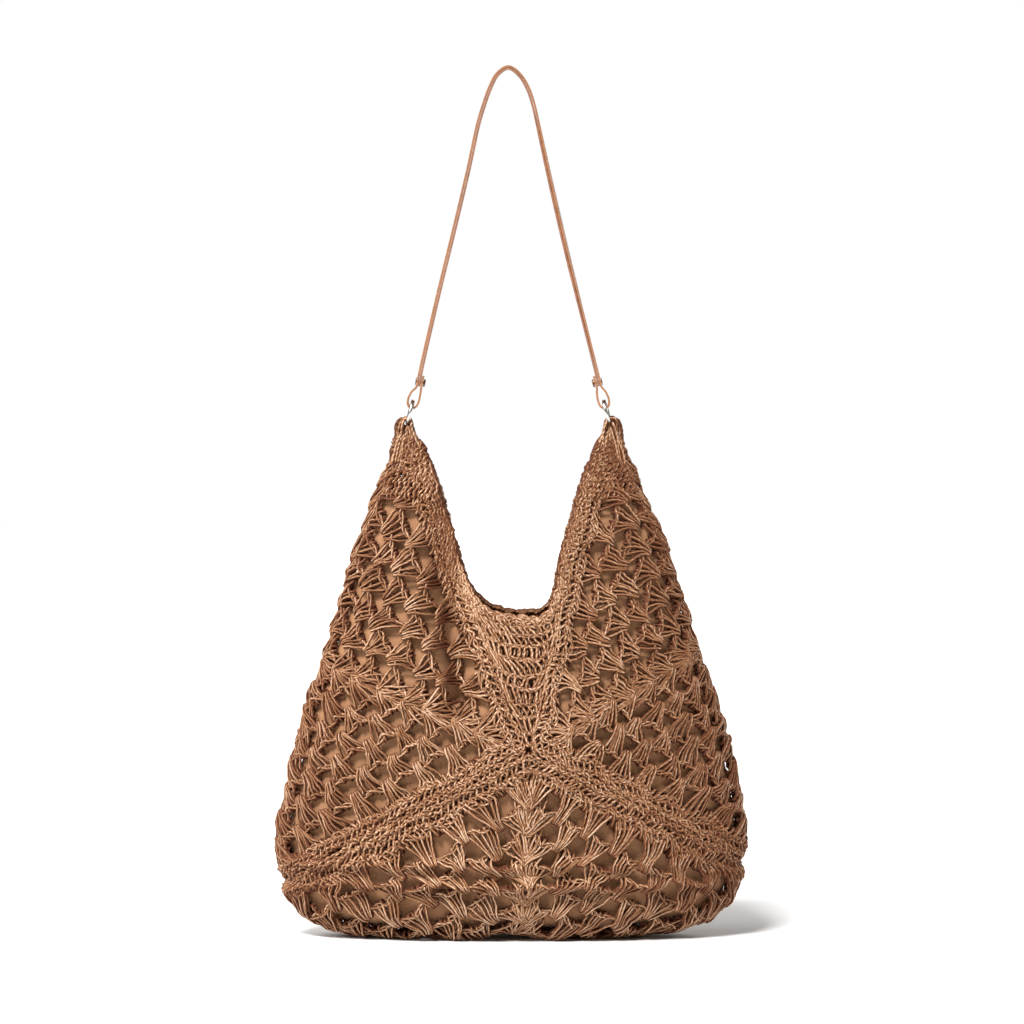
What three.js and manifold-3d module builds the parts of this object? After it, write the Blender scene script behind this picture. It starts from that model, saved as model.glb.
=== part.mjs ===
// A crocheted hobo bag with a leather shoulder strap.
// Three crocheted squares make the body. The left and right squares are folded on a diagonal
// round the sides of the bag and rise to a peak each, and the bottom square is folded on a
// diagonal under the bag. Triangular gussets fill the front and the back below the mouth.
// A cloth lining hangs inside, and a strap of two leather layers joins two metal rings that
// yarn tabs hold at the peaks.
// Millimetres. +Z is up, +X is to the right and the front faces -Y. The bag stands on z = 0.

import * as THREE from 'three';
import { mergeVertices } from 'three/addons/utils/BufferGeometryUtils.js';
import Module from 'manifold-3d';

const wasm = await Module();
wasm.setup();

// ---------------------------------------------------------------- driving dimensions

// The body, from the fold under the bag up to the peaks.
// Each row: height, x of the left side, x of the right side, half depth.
const OUTLINE = [
  [0, -76, 50, 0],
  [0, -104, 84, 24],
  [3, -132, 116, 32],
  [9, -155, 150, 39],
  [20, -172, 169, 45],
  [36, -185, 181, 49],
  [60, -188.5, 187, 53],
  [80, -188.5, 188, 55],
  [110, -182.5, 184, 56],
  [150, -174, 176, 55],
  [190, -163.5, 164, 51],
  [240, -145, 146, 43],
  [290, -131.5, 130.5, 33],
  [330, -118.5, 117, 24],
  [370, -103.5, 99, 15],
  [400, -93.5, 89, 9],
];

// The edge of the mouth, from the left peak to the right peak, as x and height.
const NECKLINE = [
  [-79.5, 401],
  [-74, 391],
  [-64, 373],
  [-55, 347],
  [-47, 320],
  [-38, 292],
  [-27, 273],
  [-12, 264],
  [8, 261],
  [25, 262],
  [32, 272],
  [38, 298],
  [46, 330],
  [59, 368],
  [70, 391],
  [75, 401],
];

const CROCHET_THICK = 4; // a layer of crochet
const EDGING_WIDTH = 8; // solid rows round the mouth
const EDGING_LIFT = 1; // how far they stand proud of the squares
const SEAM_WIDTH = 8; // the joining rows between the squares
const SEAM_LIFT = 1;
const JOIN_GAP = 0.8; // between neighbouring crocheted pieces
const CENTRE = [14, 154]; // where squares, gusset and seams meet, x and height
const CORNER_HEIGHT = { left: 43, right: 60 }; // where each seam reaches the side
const GUSSET_TOP = [0.38, 0.64]; // the gusset's top corners, as shares of the neckline
const GUSSET_TIP = 3; // width of the gusset's lower tip

const LINING_THICK = 1.2;
const LINING_INSET = 8; // from the crochet's face to the lining
const LINING_NARROWER = 8; // and further inside the bag's sides
const LINING_MIDDLE_TOP = 248; // height of the lining's edge in the middle of the mouth
const LINING_PEAK_TOP = 371; // and in the peaks
const HEM_HEIGHT = 11;
const HEM_GAP = 2.2; // between the lining and its turned edge

const RING_RADIUS = 9.3; // to the middle of the wire
const RING_WIRE = 1.3; // radius of the wire
const RING_LEAN = 16; // degrees, towards the middle of the bag
const RING_CENTRE = { left: [-81.4, 421], right: [75.8, 421] };

const TAB_WALL = 2.4; // yarn round the ring
const TAB_HOLE = [2.9, 2.6]; // half width and half height of the eye that holds the wire
const TAB_DEPTH = 5.6; // front to back
const TAB_FOOT = 401; // height of the tab's foot, on the peak

const STRAP_WIDTH = 12;
const LEATHER = 1.6; // one layer
const LAYER_GAP = 0.3;
// Middle of the strap, between its two layers, from the left rivet over the top to the right one.
const STRAP_LINE = [
  [-74.5, 445],
  [-71, 462],
  [-58, 518],
  [-46.2, 566],
  [-34.8, 614],
  [-27.5, 648],
  [-21.9, 667],
  [-17.1, 680],
  [-11.6, 690],
  [-3, 695.4],
  [5.6, 690],
  [12.1, 680],
  [16.8, 667],
  [21.2, 648],
  [28.6, 614],
  [39.6, 566],
  [51.2, 518],
  [65.2, 462],
  [69.5, 445],
];
// The end of the outer layer, round the ring's wire: inward from the wire and up along the strap.
const STRAP_LOOP = [
  [-3.1, 7],
  [-4.1, 3],
  [-4.3, 0],
  [-3.3, -4],
  [0, -6.1],
  [3.3, -4],
  [4.3, 0],
  [4.1, 5],
];
const RIVET_ROOM = 4.2; // the layers lie flat this far from the rivet
const TAIL_LENGTH = 5.5; // beyond the rivet

const RIVET_SHANK = 1.2;
const RIVET_HOLE = 1.5;
const RIVET_HEAD = 3.2;
const RIVET_HEAD_THICK = 0.6;
const RIVET_CAP_THICK = 1.5;

// ---------------------------------------------------------------- materials

const yarn = () => new THREE.MeshStandardMaterial({ color: 0xb4875f, roughness: 0.75, metalness: 0 });
const darkYarn = () => new THREE.MeshStandardMaterial({ color: 0xa87b54, roughness: 0.75, metalness: 0 });
const cloth = () => new THREE.MeshStandardMaterial({ color: 0xa57650, roughness: 0.9, metalness: 0 });
const leather = () => new THREE.MeshStandardMaterial({ color: 0xb87850, roughness: 0.5, metalness: 0 });
const nickel = () => new THREE.MeshStandardMaterial({ color: 0xb8b4ac, roughness: 0.25, metalness: 1 });
const brass = () => new THREE.MeshStandardMaterial({ color: 0x8a6238, roughness: 0.4, metalness: 1 });

// ---------------------------------------------------------------- curves

const lerp = (a, b, t) => a + (b - a) * t;
const mix = (p, q, t) => new THREE.Vector2(lerp(p.x, q.x, t), lerp(p.y, q.y, t));

// A smooth curve through values at rising stations that never overshoots them.
function monotone(stations, values) {
  const last = stations.length - 1;
  const slope = [];
  for (let i = 0; i < last; i++) {
    slope.push((values[i + 1] - values[i]) / (stations[i + 1] - stations[i]));
  }
  const tangent = [slope[0]];
  for (let i = 1; i < last; i++) {
    const turns = slope[i - 1] * slope[i] <= 0;
    tangent.push(turns ? 0 : (2 * slope[i - 1] * slope[i]) / (slope[i - 1] + slope[i]));
  }
  tangent.push(slope[last - 1]);
  return (at) => {
    const i = Math.min(Math.max(stations.findIndex((s) => s > at) - 1, 0), last - 1);
    const k = at >= stations[last] ? last - 1 : i;
    const h = stations[k + 1] - stations[k];
    const t = Math.min(Math.max((at - stations[k]) / h, 0), 1);
    const start = (2 * t ** 3 - 3 * t ** 2 + 1) * values[k] + (t ** 3 - 2 * t ** 2 + t) * h * tangent[k];
    const end = (-2 * t ** 3 + 3 * t ** 2) * values[k + 1] + (t ** 3 - t ** 2) * h * tangent[k + 1];
    return start + end;
  };
}

// A point at a share of the way along a chain of points.
function along(points) {
  const reach = [0];
  for (let i = 1; i < points.length; i++) {
    reach.push(reach[i - 1] + points[i].distanceTo(points[i - 1]));
  }
  return (share) => {
    const target = Math.min(Math.max(share, 0), 1) * reach.at(-1);
    const next = Math.max(reach.findIndex((r) => r >= target), 1);
    const t = (target - reach[next - 1]) / (reach[next] - reach[next - 1]);
    return mix(points[next - 1], points[next], t);
  };
}

const sample = (curve, count, from = 0, to = 1) =>
  Array.from({ length: count + 1 }, (_, i) => curve(lerp(from, to, i / count)));

// The same chain of points moved sideways, to the left of its direction.
function beside(points, distance) {
  return points.map((p, i) => {
    const before = points[Math.max(i - 1, 0)];
    const after = points[Math.min(i + 1, points.length - 1)];
    const ahead = after.clone().sub(before).normalize();
    return new THREE.Vector2(p.x - ahead.y * distance, p.y + ahead.x * distance);
  });
}

// ---------------------------------------------------------------- the skin of the bag

// Level cuts through the bag are ellipses. A cut is named by its reach, the distance up the
// middle of the front from the fold under the bag.
const reaches = [0];
for (let i = 1; i < OUTLINE.length; i++) {
  const rise = OUTLINE[i][0] - OUTLINE[i - 1][0];
  const spread = OUTLINE[i][3] - OUTLINE[i - 1][3];
  reaches.push(reaches[i - 1] + Math.hypot(rise, spread));
}
const column = (k) => monotone(reaches, OUTLINE.map((row) => row[k]));
const heightAt = column(0);
const leftAt = column(1);
const rightAt = column(2);
const depthAt = column(3);
const TOP_REACH = reaches.at(-1);

function cut(reach) {
  const r = Math.min(Math.max(reach, 0), TOP_REACH);
  const left = leftAt(r);
  const right = rightAt(r);
  return { middle: (left + right) / 2, half: (right - left) / 2, depth: depthAt(r), height: heightAt(r) };
}

// How the wall leans at a cut: the horizontal share of its normal at the side and at the front.
function wallLean(reach) {
  const step = 0.5;
  const low = cut(reach - step);
  const high = cut(reach + step);
  const rise = high.height - low.height;
  const widen = high.half - low.half;
  const deepen = high.depth - low.depth;
  return {
    sideOut: rise / Math.hypot(rise, widen),
    sideDown: widen / Math.hypot(rise, widen),
    frontOut: rise / Math.hypot(rise, deepen),
    frontDown: deepen / Math.hypot(rise, deepen),
  };
}

const ARC_STEPS = 90;

// Angles and distances round a quarter of a cut, from the middle of the front to the side.
function quarter(size) {
  const step = Math.PI / 2 / ARC_STEPS;
  const run = [0];
  for (let i = 0; i < ARC_STEPS; i++) {
    const angle = (i + 0.5) * step;
    run.push(run[i] + step * Math.hypot(size.half * Math.cos(angle), size.depth * Math.sin(angle)));
  }
  return run;
}

const girth = (reach) => quarter(cut(reach)).at(-1);

// The flat pattern of the front: x is the distance round the cut from the middle, y is the reach.
function onPattern([x, height]) {
  let low = reaches[1];
  let high = TOP_REACH;
  for (let i = 0; i < 40; i++) {
    const reach = (low + high) / 2;
    if (heightAt(reach) < height) low = reach;
    else high = reach;
  }
  const size = cut(low);
  const share = Math.min(Math.max((x - size.middle) / size.half, -1), 1);
  const position = (Math.abs(Math.asin(share)) / (Math.PI / 2)) * ARC_STEPS;
  const whole = Math.min(Math.floor(position), ARC_STEPS - 1);
  const run = quarter(size);
  return new THREE.Vector2(Math.sign(share) * lerp(run[whole], run[whole + 1], position - whole), low);
}

// A point of the pattern on the bag, some way under its face. side is 1 in front, -1 behind.
function onBag(point, side, under) {
  const size = cut(point.y);
  const run = quarter(size);
  const distance = Math.min(Math.abs(point.x), run.at(-1));
  const next = Math.max(run.findIndex((r) => r >= distance), 1);
  const t = (distance - run[next - 1]) / (run[next] - run[next - 1]);
  const angle = Math.min(((next - 1 + t) / ARC_STEPS) * (Math.PI / 2), Math.PI / 2);
  return onCut(size, wallLean(point.y), Math.sign(point.x) * Math.sin(angle), side, under, under);
}

// A point at a share of the half width of a cut, moved inward by its own distance at the
// sides and in front.
function onCut(size, lean, share, side, underSide, underFront) {
  const front = Math.sqrt(Math.max(1 - share * share, 0));
  const raise = underSide * lean.sideDown * share * share + underFront * lean.frontDown * front * front;
  return new THREE.Vector3(
    size.middle + share * (size.half - underSide * lean.sideOut),
    -side * front * (size.depth - underFront * lean.frontOut),
    size.height + raise,
  );
}

// ---------------------------------------------------------------- solids

function geometryFrom(points, faces) {
  let volume = 0;
  for (const [a, b, c] of faces) {
    volume += points[a].dot(points[b].clone().cross(points[c]));
  }
  const geometry = new THREE.BufferGeometry();
  const positions = points.flatMap((p) => [p.x, p.y, p.z]);
  geometry.setAttribute('position', new THREE.Float32BufferAttribute(positions, 3));
  geometry.setIndex(faces.flatMap(([a, b, c]) => (volume > 0 ? [a, b, c] : [a, c, b])));
  geometry.computeVertexNormals();
  return geometry;
}

// A closed sheet between two grids of points. A closed sheet joins its last column to its first.
function sheet(rows, columns, outer, inner, closed = false) {
  const across = closed ? columns : columns + 1;
  const points = [];
  for (const face of [outer, inner]) {
    for (let i = 0; i <= rows; i++) {
      for (let j = 0; j < across; j++) {
        points.push(face(i / rows, j / columns));
      }
    }
  }
  const half = points.length / 2;
  const at = (i, j) => i * across + (j % across);
  const faces = [];
  const quad = (a, b, c, d) => faces.push([a, b, c], [a, c, d]);
  for (let i = 0; i < rows; i++) {
    for (let j = 0; j < columns; j++) {
      const [a, b, c, d] = [at(i, j), at(i, j + 1), at(i + 1, j + 1), at(i + 1, j)];
      quad(b, c, d, a);
      quad(half + c, half + b, half + a, half + d);
    }
  }
  for (let j = 0; j < columns; j++) {
    quad(at(0, j), half + at(0, j), half + at(0, j + 1), at(0, j + 1));
    quad(at(rows, j + 1), half + at(rows, j + 1), half + at(rows, j), at(rows, j));
  }
  for (let i = 0; i < rows && !closed; i++) {
    quad(at(i + 1, 0), half + at(i + 1, 0), half + at(i, 0), at(i, 0));
    quad(at(i, columns), half + at(i, columns), half + at(i + 1, columns), at(i + 1, columns));
  }
  return geometryFrom(points, faces);
}

function toSolid(geometry) {
  const bare = geometry.clone();
  bare.deleteAttribute('normal');
  bare.deleteAttribute('uv');
  const merged = mergeVertices(bare, 1e-5);
  return new wasm.Manifold(new wasm.Mesh({
    numProp: 3,
    vertProperties: new Float32Array(merged.attributes.position.array),
    triVerts: new Uint32Array(merged.index.array),
  }));
}

function fromSolid(solid) {
  const mesh = solid.getMesh();
  const geometry = new THREE.BufferGeometry();
  geometry.setAttribute('position', new THREE.BufferAttribute(new Float32Array(mesh.vertProperties), 3));
  geometry.setIndex(new THREE.BufferAttribute(new Uint32Array(mesh.triVerts), 1));
  return geometry;
}

const cutFrom = (geometry, tools) =>
  fromSolid(tools.reduce((left, tool) => left.subtract(toSolid(tool)), toSolid(geometry)));

// A flat outline in x and height, thickened from front to back about y = 0.
function upright(shape, depth, curveSegments = 6) {
  const geometry = new THREE.ExtrudeGeometry(shape, { depth, bevelEnabled: false, curveSegments });
  geometry.translate(0, 0, -depth / 2);
  geometry.rotateX(Math.PI / 2);
  return geometry;
}

// ---------------------------------------------------------------- the flat pattern

const vector = ([x, y]) => new THREE.Vector2(x, y);
const patternCentre = onPattern(CENTRE);
const side = (reach, sign) => new THREE.Vector2(sign * girth(reach), reach);
const corner = {
  left: side(onPattern([0, CORNER_HEIGHT.left]).y, -1),
  right: side(onPattern([0, CORNER_HEIGHT.right]).y, 1),
};

// The mouth, then the lines beside it where the edging ends and the squares and gussets begin.
const neckSpline = new THREE.SplineCurve(NECKLINE.map(vector));
const neckPattern = neckSpline.getSpacedPoints(72).map((p) => onPattern([p.x, p.y]));
const mouthLine = along(neckPattern);
const edgingLine = along(beside(neckPattern, -EDGING_WIDTH));
const panelLine = along(beside(neckPattern, -EDGING_WIDTH - JOIN_GAP));

// A seam runs straight from the centre to the corner of the bag.
function seamOf(name) {
  const ahead = corner[name].clone().sub(patternCentre).normalize();
  const down = name === 'left' ? new THREE.Vector2(-ahead.y, ahead.x) : new THREE.Vector2(ahead.y, -ahead.x);
  return { ahead, down };
}
const seam = { left: seamOf('left'), right: seamOf('right') };
const seamReach = SEAM_WIDTH / 2 + JOIN_GAP;

// ---------------------------------------------------------------- crocheted squares

// A square folded on a diagonal. Its middle lies on the fold. Two of its corners are the ends
// of the fold, and the other two are the front corner and the one behind it. across and up run
// from -1 to 1 over the flat square, and every round of the crochet keeps the larger of them.
function foldedSquare(fold, firstSide, secondSide) {
  const middle = fold(0.5);
  const place = (across, up, under) => {
    const slide = (across - up) / 2;
    const out = (across + up) / 2;
    const round = Math.abs(slide) + Math.abs(out);
    if (round < 1e-9) return onBag(middle, 1, under);
    const share = Math.abs(out) / round;
    const sideLine = slide <= 0 ? firstSide : secondSide;
    const onFold = fold(0.5 + 0.5 * Math.sign(slide || -1) * round);
    const straight = mix(middle, sideLine(0), round);
    const pull = onFold.sub(straight).multiplyScalar((1 - share) ** 2);
    return onBag(mix(middle, sideLine(share), round).add(pull), out < 0 ? -1 : 1, under);
  };
  const grid = (under) => (i, j) => place(2 * i - 1, 2 * j - 1, under);
  return sheet(16, 16, grid(0), grid(CROCHET_THICK));
}

function sideSquare(name) {
  const sign = name === 'left' ? -1 : 1;
  const foot = corner[name].y + seamReach;
  const fold = along(sample((t) => side(lerp(TOP_REACH - 0.5, foot, t), sign), 48));
  const neck = name === 'left' ? [0, GUSSET_TOP[0]] : [1, GUSSET_TOP[1]];
  const { ahead, down } = seam[name];
  const frontCorner = patternCentre.clone().addScaledVector(down, -seamReach).addScaledVector(ahead, 3.2);
  const upper = along([fold(0), ...sample(panelLine, 32, ...neck), frontCorner]);
  const lower = along([fold(1), frontCorner]);
  return foldedSquare(fold, upper, lower);
}

function bottomSquare() {
  const edge = (from, to, sign) => sample((t) => side(lerp(from, to, t), sign), 32);
  const fold = along([
    ...edge(corner.left.y - seamReach, 0, -1),
    ...edge(0, corner.right.y - seamReach, 1),
  ]);
  const { left, right } = seam;
  const reach = seamReach / (1 + left.down.dot(right.down));
  const frontCorner = patternCentre.clone().addScaledVector(left.down.clone().add(right.down), reach);
  return foldedSquare(fold, along([fold(0), frontCorner]), along([fold(1), frontCorner]));
}

// ---------------------------------------------------------------- gussets, seams and edging

// The triangle of rows between the squares, from the edging down to the centre.
function gusset(face) {
  const tip = patternCentre.clone().add(new THREE.Vector2(0, 6.5));
  const top = (t) => panelLine(lerp(GUSSET_TOP[0] + 0.004, GUSSET_TOP[1] - 0.004, t));
  const grid = (under) => (down, t) => {
    const low = new THREE.Vector2(tip.x + (t - 0.5) * GUSSET_TIP, tip.y);
    return onBag(mix(top(t), low, down), face, under);
  };
  return sheet(8, 8, grid(0), grid(CROCHET_THICK));
}

// The rows that join a side square to the bottom square.
function seamStrip(name, face) {
  const { ahead, down } = seam[name];
  const start = patternCentre.clone().addScaledVector(ahead, 5);
  const end = corner[name].clone().addScaledVector(ahead, -JOIN_GAP);
  const grid = (under) => (t, across) =>
    onBag(mix(start, end, t).addScaledVector(down, (across - 0.5) * SEAM_WIDTH), face, under);
  return sheet(20, 2, grid(-SEAM_LIFT), grid(CROCHET_THICK));
}

// The solid rows along one half of the mouth.
function mouthEdging(face) {
  const grid = (under) => (t, across) => onBag(mix(mouthLine(t), edgingLine(t), across), face, under);
  return sheet(48, 2, grid(-EDGING_LIFT), grid(CROCHET_THICK));
}

// ---------------------------------------------------------------- lining

const smooth = (t) => t * t * (3 - 2 * t);
const liningTop = (share) => {
  const t = Math.min(Math.max((Math.abs(share) - 0.25) / 0.5, 0), 1);
  return lerp(LINING_MIDDLE_TOP, LINING_PEAK_TOP, smooth(t));
};

// A point on the lining at a share of its half width and at a reach, some way under its face.
function onLining(share, reach, face, under) {
  const size = cut(reach);
  const narrow = { ...size, half: size.half - LINING_NARROWER };
  return onCut(narrow, wallLean(reach), share, face, LINING_INSET + under, LINING_INSET + under);
}

const liningReach = (share) => onPattern([0, liningTop(share)]).y;

function liningPanel(face) {
  const foot = reaches[1];
  const edge = 0.995; // the front and back panels meet in the side seams
  const grid = (under) => (up, t) => {
    const share = lerp(-edge, edge, t);
    return onLining(share, lerp(foot, liningReach(share), up), face, under);
  };
  return sheet(12, 22, grid(0), grid(LINING_THICK));
}

// The turned edge round the top of the lining, inside it.
function liningHem() {
  const inside = LINING_THICK + HEM_GAP;
  const grid = (under) => (up, t) => {
    const turn = 2 * Math.PI * t;
    const share = Math.sin(turn) * 0.99;
    const face = Math.cos(turn) >= 0 ? 1 : -1;
    return onLining(share, liningReach(share) - (1 - up) * HEM_HEIGHT, face, inside + under);
  };
  return sheet(1, 64, grid(0), grid(LINING_THICK), true);
}

// ---------------------------------------------------------------- rings and their tabs

const leanOf = (name) => THREE.MathUtils.degToRad(name === 'left' ? RING_LEAN : -RING_LEAN);

function wirePoint(name, up) {
  const [x, z] = RING_CENTRE[name];
  return new THREE.Vector2(x + up * Math.sin(leanOf(name)), z + up * Math.cos(leanOf(name)));
}

function ring() {
  const geometry = new THREE.TorusGeometry(RING_RADIUS, RING_WIRE, 10, 36);
  return geometry.rotateY(Math.PI / 2);
}

// The eye of yarn at a peak, with the ring's wire through it and its foot on the peak.
function ringTab(name) {
  const wire = wirePoint(name, -RING_RADIUS);
  const eyeHeight = wire.y + 0.6;
  const half = TAB_HOLE[0] + TAB_WALL;
  const top = eyeHeight + TAB_HOLE[1] + TAB_WALL;
  const shape = new THREE.Shape();
  shape.moveTo(wire.x - half + 1, TAB_FOOT);
  shape.lineTo(wire.x + half - 1, TAB_FOOT);
  shape.lineTo(wire.x + half, TAB_FOOT + 3);
  shape.lineTo(wire.x + half, top - 3);
  shape.quadraticCurveTo(wire.x + half, top, wire.x, top);
  shape.quadraticCurveTo(wire.x - half, top, wire.x - half, top - 3);
  shape.lineTo(wire.x - half, TAB_FOOT + 3);
  shape.closePath();
  const eye = new THREE.Path();
  eye.absellipse(wire.x, eyeHeight, TAB_HOLE[0], TAB_HOLE[1], 0, 2 * Math.PI, true);
  shape.holes.push(eye);
  return upright(shape, TAB_DEPTH);
}

// ---------------------------------------------------------------- strap

const strapSpline = new THREE.SplineCurve(STRAP_LINE.map(vector));
const strapMiddle = strapSpline.getPoints(5 * (STRAP_LINE.length - 1)); // closer where it bends more
const layerOffset = (LEATHER + LAYER_GAP) / 2;
const tailOffset = layerOffset + LEATHER + LAYER_GAP;

// The strap's middle at a rivet, with the directions inward and up the strap.
function strapEnd(name) {
  const points = name === 'left' ? strapMiddle : strapMiddle.toReversed();
  const up = points[1].clone().sub(points[0]).normalize();
  const inward = name === 'left' ? new THREE.Vector2(up.y, -up.x) : new THREE.Vector2(-up.y, up.x);
  return { foot: points[0], up, inward };
}

// The route of the outer layer from its tail, round the ring and back to the strap.
function strapLoop(name) {
  const { foot, up, inward } = strapEnd(name);
  const wire = wirePoint(name, RING_RADIUS);
  const upLoop = foot.clone().sub(wire).normalize();
  const across = name === 'left' ? new THREE.Vector2(upLoop.y, -upLoop.x) : new THREE.Vector2(-upLoop.y, upLoop.x);
  const round = STRAP_LOOP.map(([x, y]) => wire.clone().addScaledVector(across, x).addScaledVector(upLoop, y));
  const flat = (offset, rise) => foot.clone().addScaledVector(inward, offset).addScaledVector(up, rise);
  const tail = [TAIL_LENGTH, 0, -RIVET_ROOM].map((rise) => flat(tailOffset, rise));
  const outside = [-RIVET_ROOM, 0].map((rise) => flat(-layerOffset, rise));
  const curve = new THREE.SplineCurve([...tail, ...round.toReversed(), ...outside]);
  return curve.getSpacedPoints(34);
}

// A layer of leather that follows a route, as an outline in x and height.
function layer(route) {
  const outline = [...beside(route, LEATHER / 2), ...beside(route, -LEATHER / 2).toReversed()];
  return upright(new THREE.Shape(outline), STRAP_WIDTH);
}

// A round piece on the rivet's axis, which points inward through the leather.
function onRivet(geometry, name) {
  const { foot, inward } = strapEnd(name);
  const axis = new THREE.Vector3(inward.x, 0, inward.y);
  const turn = new THREE.Quaternion().setFromUnitVectors(new THREE.Vector3(0, 1, 0), axis);
  geometry.applyQuaternion(turn);
  return geometry.translate(foot.x, 0, foot.y);
}

const rivetHoles = () =>
  ['left', 'right'].map((name) => onRivet(new THREE.CylinderGeometry(RIVET_HOLE, RIVET_HOLE, 14, 16), name));

function strapOuter() {
  const over = beside(strapMiddle, layerOffset);
  const route = [...strapLoop('left'), ...over.slice(1, -1), ...strapLoop('right').toReversed()];
  return cutFrom(layer(route), rivetHoles());
}

function strapBacking() {
  const beyond = 3.2; // past each rivet
  const extend = (name) => strapEnd(name).foot.clone().addScaledVector(strapEnd(name).up, -beyond);
  const route = [extend('left'), ...strapMiddle, extend('right')];
  return cutFrom(layer(beside(route, -layerOffset)), rivetHoles());
}

// Heights along the rivet's axis, from the outer face of the leather to the tail's face.
const rivetStart = -layerOffset - LEATHER / 2 - LAYER_GAP;
const rivetEnd = tailOffset + LEATHER / 2 + LAYER_GAP;
const round = (profile) => new THREE.LatheGeometry(profile.map(vector), 16);

function rivetPost(name) {
  const tip = rivetEnd + 0.5;
  return onRivet(round([
    [0, rivetStart - RIVET_HEAD_THICK],
    [RIVET_HEAD - 0.5, rivetStart - RIVET_HEAD_THICK],
    [RIVET_HEAD, rivetStart - RIVET_HEAD_THICK / 2],
    [RIVET_HEAD, rivetStart],
    [RIVET_SHANK, rivetStart],
    [RIVET_SHANK, tip],
    [0, tip],
  ]), name);
}

function rivetCap(name) {
  const top = rivetEnd + RIVET_CAP_THICK;
  return onRivet(round([
    [0, rivetEnd + 0.9],
    [RIVET_HOLE, rivetEnd + 0.9],
    [RIVET_HOLE, rivetEnd],
    [RIVET_HEAD, rivetEnd],
    [RIVET_HEAD, top - 0.5],
    [RIVET_HEAD - 0.7, top],
    [0, top],
  ]), name);
}

// ---------------------------------------------------------------- assembly

const bag = new THREE.Group();

function add(name, geometry, material, parent = bag) {
  const mesh = new THREE.Mesh(geometry, material);
  mesh.name = name;
  parent.add(mesh);
  return mesh;
}

add('left_square', sideSquare('left'), yarn());
add('right_square', sideSquare('right'), yarn());
add('bottom_square', bottomSquare(), yarn());

for (const [place, face] of [['front', 1], ['back', -1]]) {
  add(`${place}_gusset`, gusset(face), yarn());
  add(`mouth_edging_${place}`, mouthEdging(face), darkYarn());
  add(`lining_${place}`, liningPanel(face), cloth());
  for (const name of ['left', 'right']) {
    add(`seam_${place}_${name}`, seamStrip(name, face), darkYarn());
  }
}
add('lining_hem', liningHem(), cloth());

for (const name of ['left', 'right']) {
  add(`ring_tab_${name}`, ringTab(name), darkYarn());
  const [x, z] = RING_CENTRE[name];
  const metal = add(`ring_${name}`, ring(), nickel());
  metal.position.set(x, 0, z);
  metal.rotation.y = leanOf(name);
}

const strap = new THREE.Group();
bag.add(strap);
add('strap_outer', strapOuter(), leather(), strap);
add('strap_backing', strapBacking(), leather(), strap);
for (const name of ['left', 'right']) {
  add(`rivet_post_${name}`, rivetPost(name), brass(), strap);
  add(`rivet_cap_${name}`, rivetCap(name), brass(), strap);
}

export default bag;
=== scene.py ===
import math

import bmesh
import bpy
import numpy as np
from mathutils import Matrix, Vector


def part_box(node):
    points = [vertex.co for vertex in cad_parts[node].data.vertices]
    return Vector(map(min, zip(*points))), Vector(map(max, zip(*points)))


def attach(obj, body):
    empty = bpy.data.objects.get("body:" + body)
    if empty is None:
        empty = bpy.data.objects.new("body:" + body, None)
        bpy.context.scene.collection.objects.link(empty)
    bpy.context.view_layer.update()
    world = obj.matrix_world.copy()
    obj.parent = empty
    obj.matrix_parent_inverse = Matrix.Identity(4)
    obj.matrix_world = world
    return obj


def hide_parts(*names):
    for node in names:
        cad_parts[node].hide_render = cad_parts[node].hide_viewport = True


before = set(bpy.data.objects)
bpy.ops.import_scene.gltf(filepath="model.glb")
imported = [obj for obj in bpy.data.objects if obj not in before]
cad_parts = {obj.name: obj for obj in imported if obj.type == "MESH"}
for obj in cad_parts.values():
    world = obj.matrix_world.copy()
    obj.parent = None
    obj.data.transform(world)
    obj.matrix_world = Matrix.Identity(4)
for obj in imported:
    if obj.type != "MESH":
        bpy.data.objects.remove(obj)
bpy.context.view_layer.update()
MM = 0.001
rng = np.random.default_rng(7)


def unit(vectors):
    """Vectors of length 1, in the same directions."""
    return vectors / (np.linalg.norm(vectors, axis=-1, keepdims=True) + 1e-12)


def running(amounts):
    """The running total of amounts, from 0."""
    return np.concatenate([[0], np.cumsum(amounts)])


def lookup(places, known, *columns):
    """For each column, its values at places between those where they are known."""
    return [np.interp(places, known, column) for column in columns]


# ---- camera, floor, light

VIEW_HEIGHT = 0.341  # the height that the camera looks at
VIEW_WIDTH = 0.819  # what the picture takes in at the bag
CAMERA_DISTANCE = 4.2
CAMERA_ELEVATION = math.radians(3.0)


def new_object(name, data):
    made = bpy.data.objects.new(name, data)
    bpy.context.scene.collection.objects.link(made)
    return made


def make_camera():
    data = bpy.data.cameras.new("camera")
    data.sensor_width = 36
    data.lens = data.sensor_width * CAMERA_DISTANCE / VIEW_WIDTH
    camera = new_object("camera", data)
    back = Vector((0, -math.cos(CAMERA_ELEVATION), math.sin(CAMERA_ELEVATION)))
    camera.location = Vector((0, 0, VIEW_HEIGHT)) + back * CAMERA_DISTANCE
    camera.rotation_euler = (-back).to_track_quat("-Z", "Y").to_euler()
    bpy.context.scene.camera = camera


def make_floor():
    reach = 6.0
    mesh = bpy.data.meshes.new("floor")
    corners = [(-reach, -reach, 0), (reach, -reach, 0), (reach, reach, 0), (-reach, reach, 0)]
    mesh.from_pydata(corners, [], [(0, 1, 2, 3)])
    floor = new_object("floor", mesh)
    material = bpy.data.materials.new("pale_floor")
    material.use_nodes = True
    shader = material.node_tree.nodes["Principled BSDF"]
    shader.inputs["Base Color"].default_value = (0.80, 0.80, 0.80, 1)
    shader.inputs["Roughness"].default_value = 0.9
    floor.data.materials.append(material)


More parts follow.
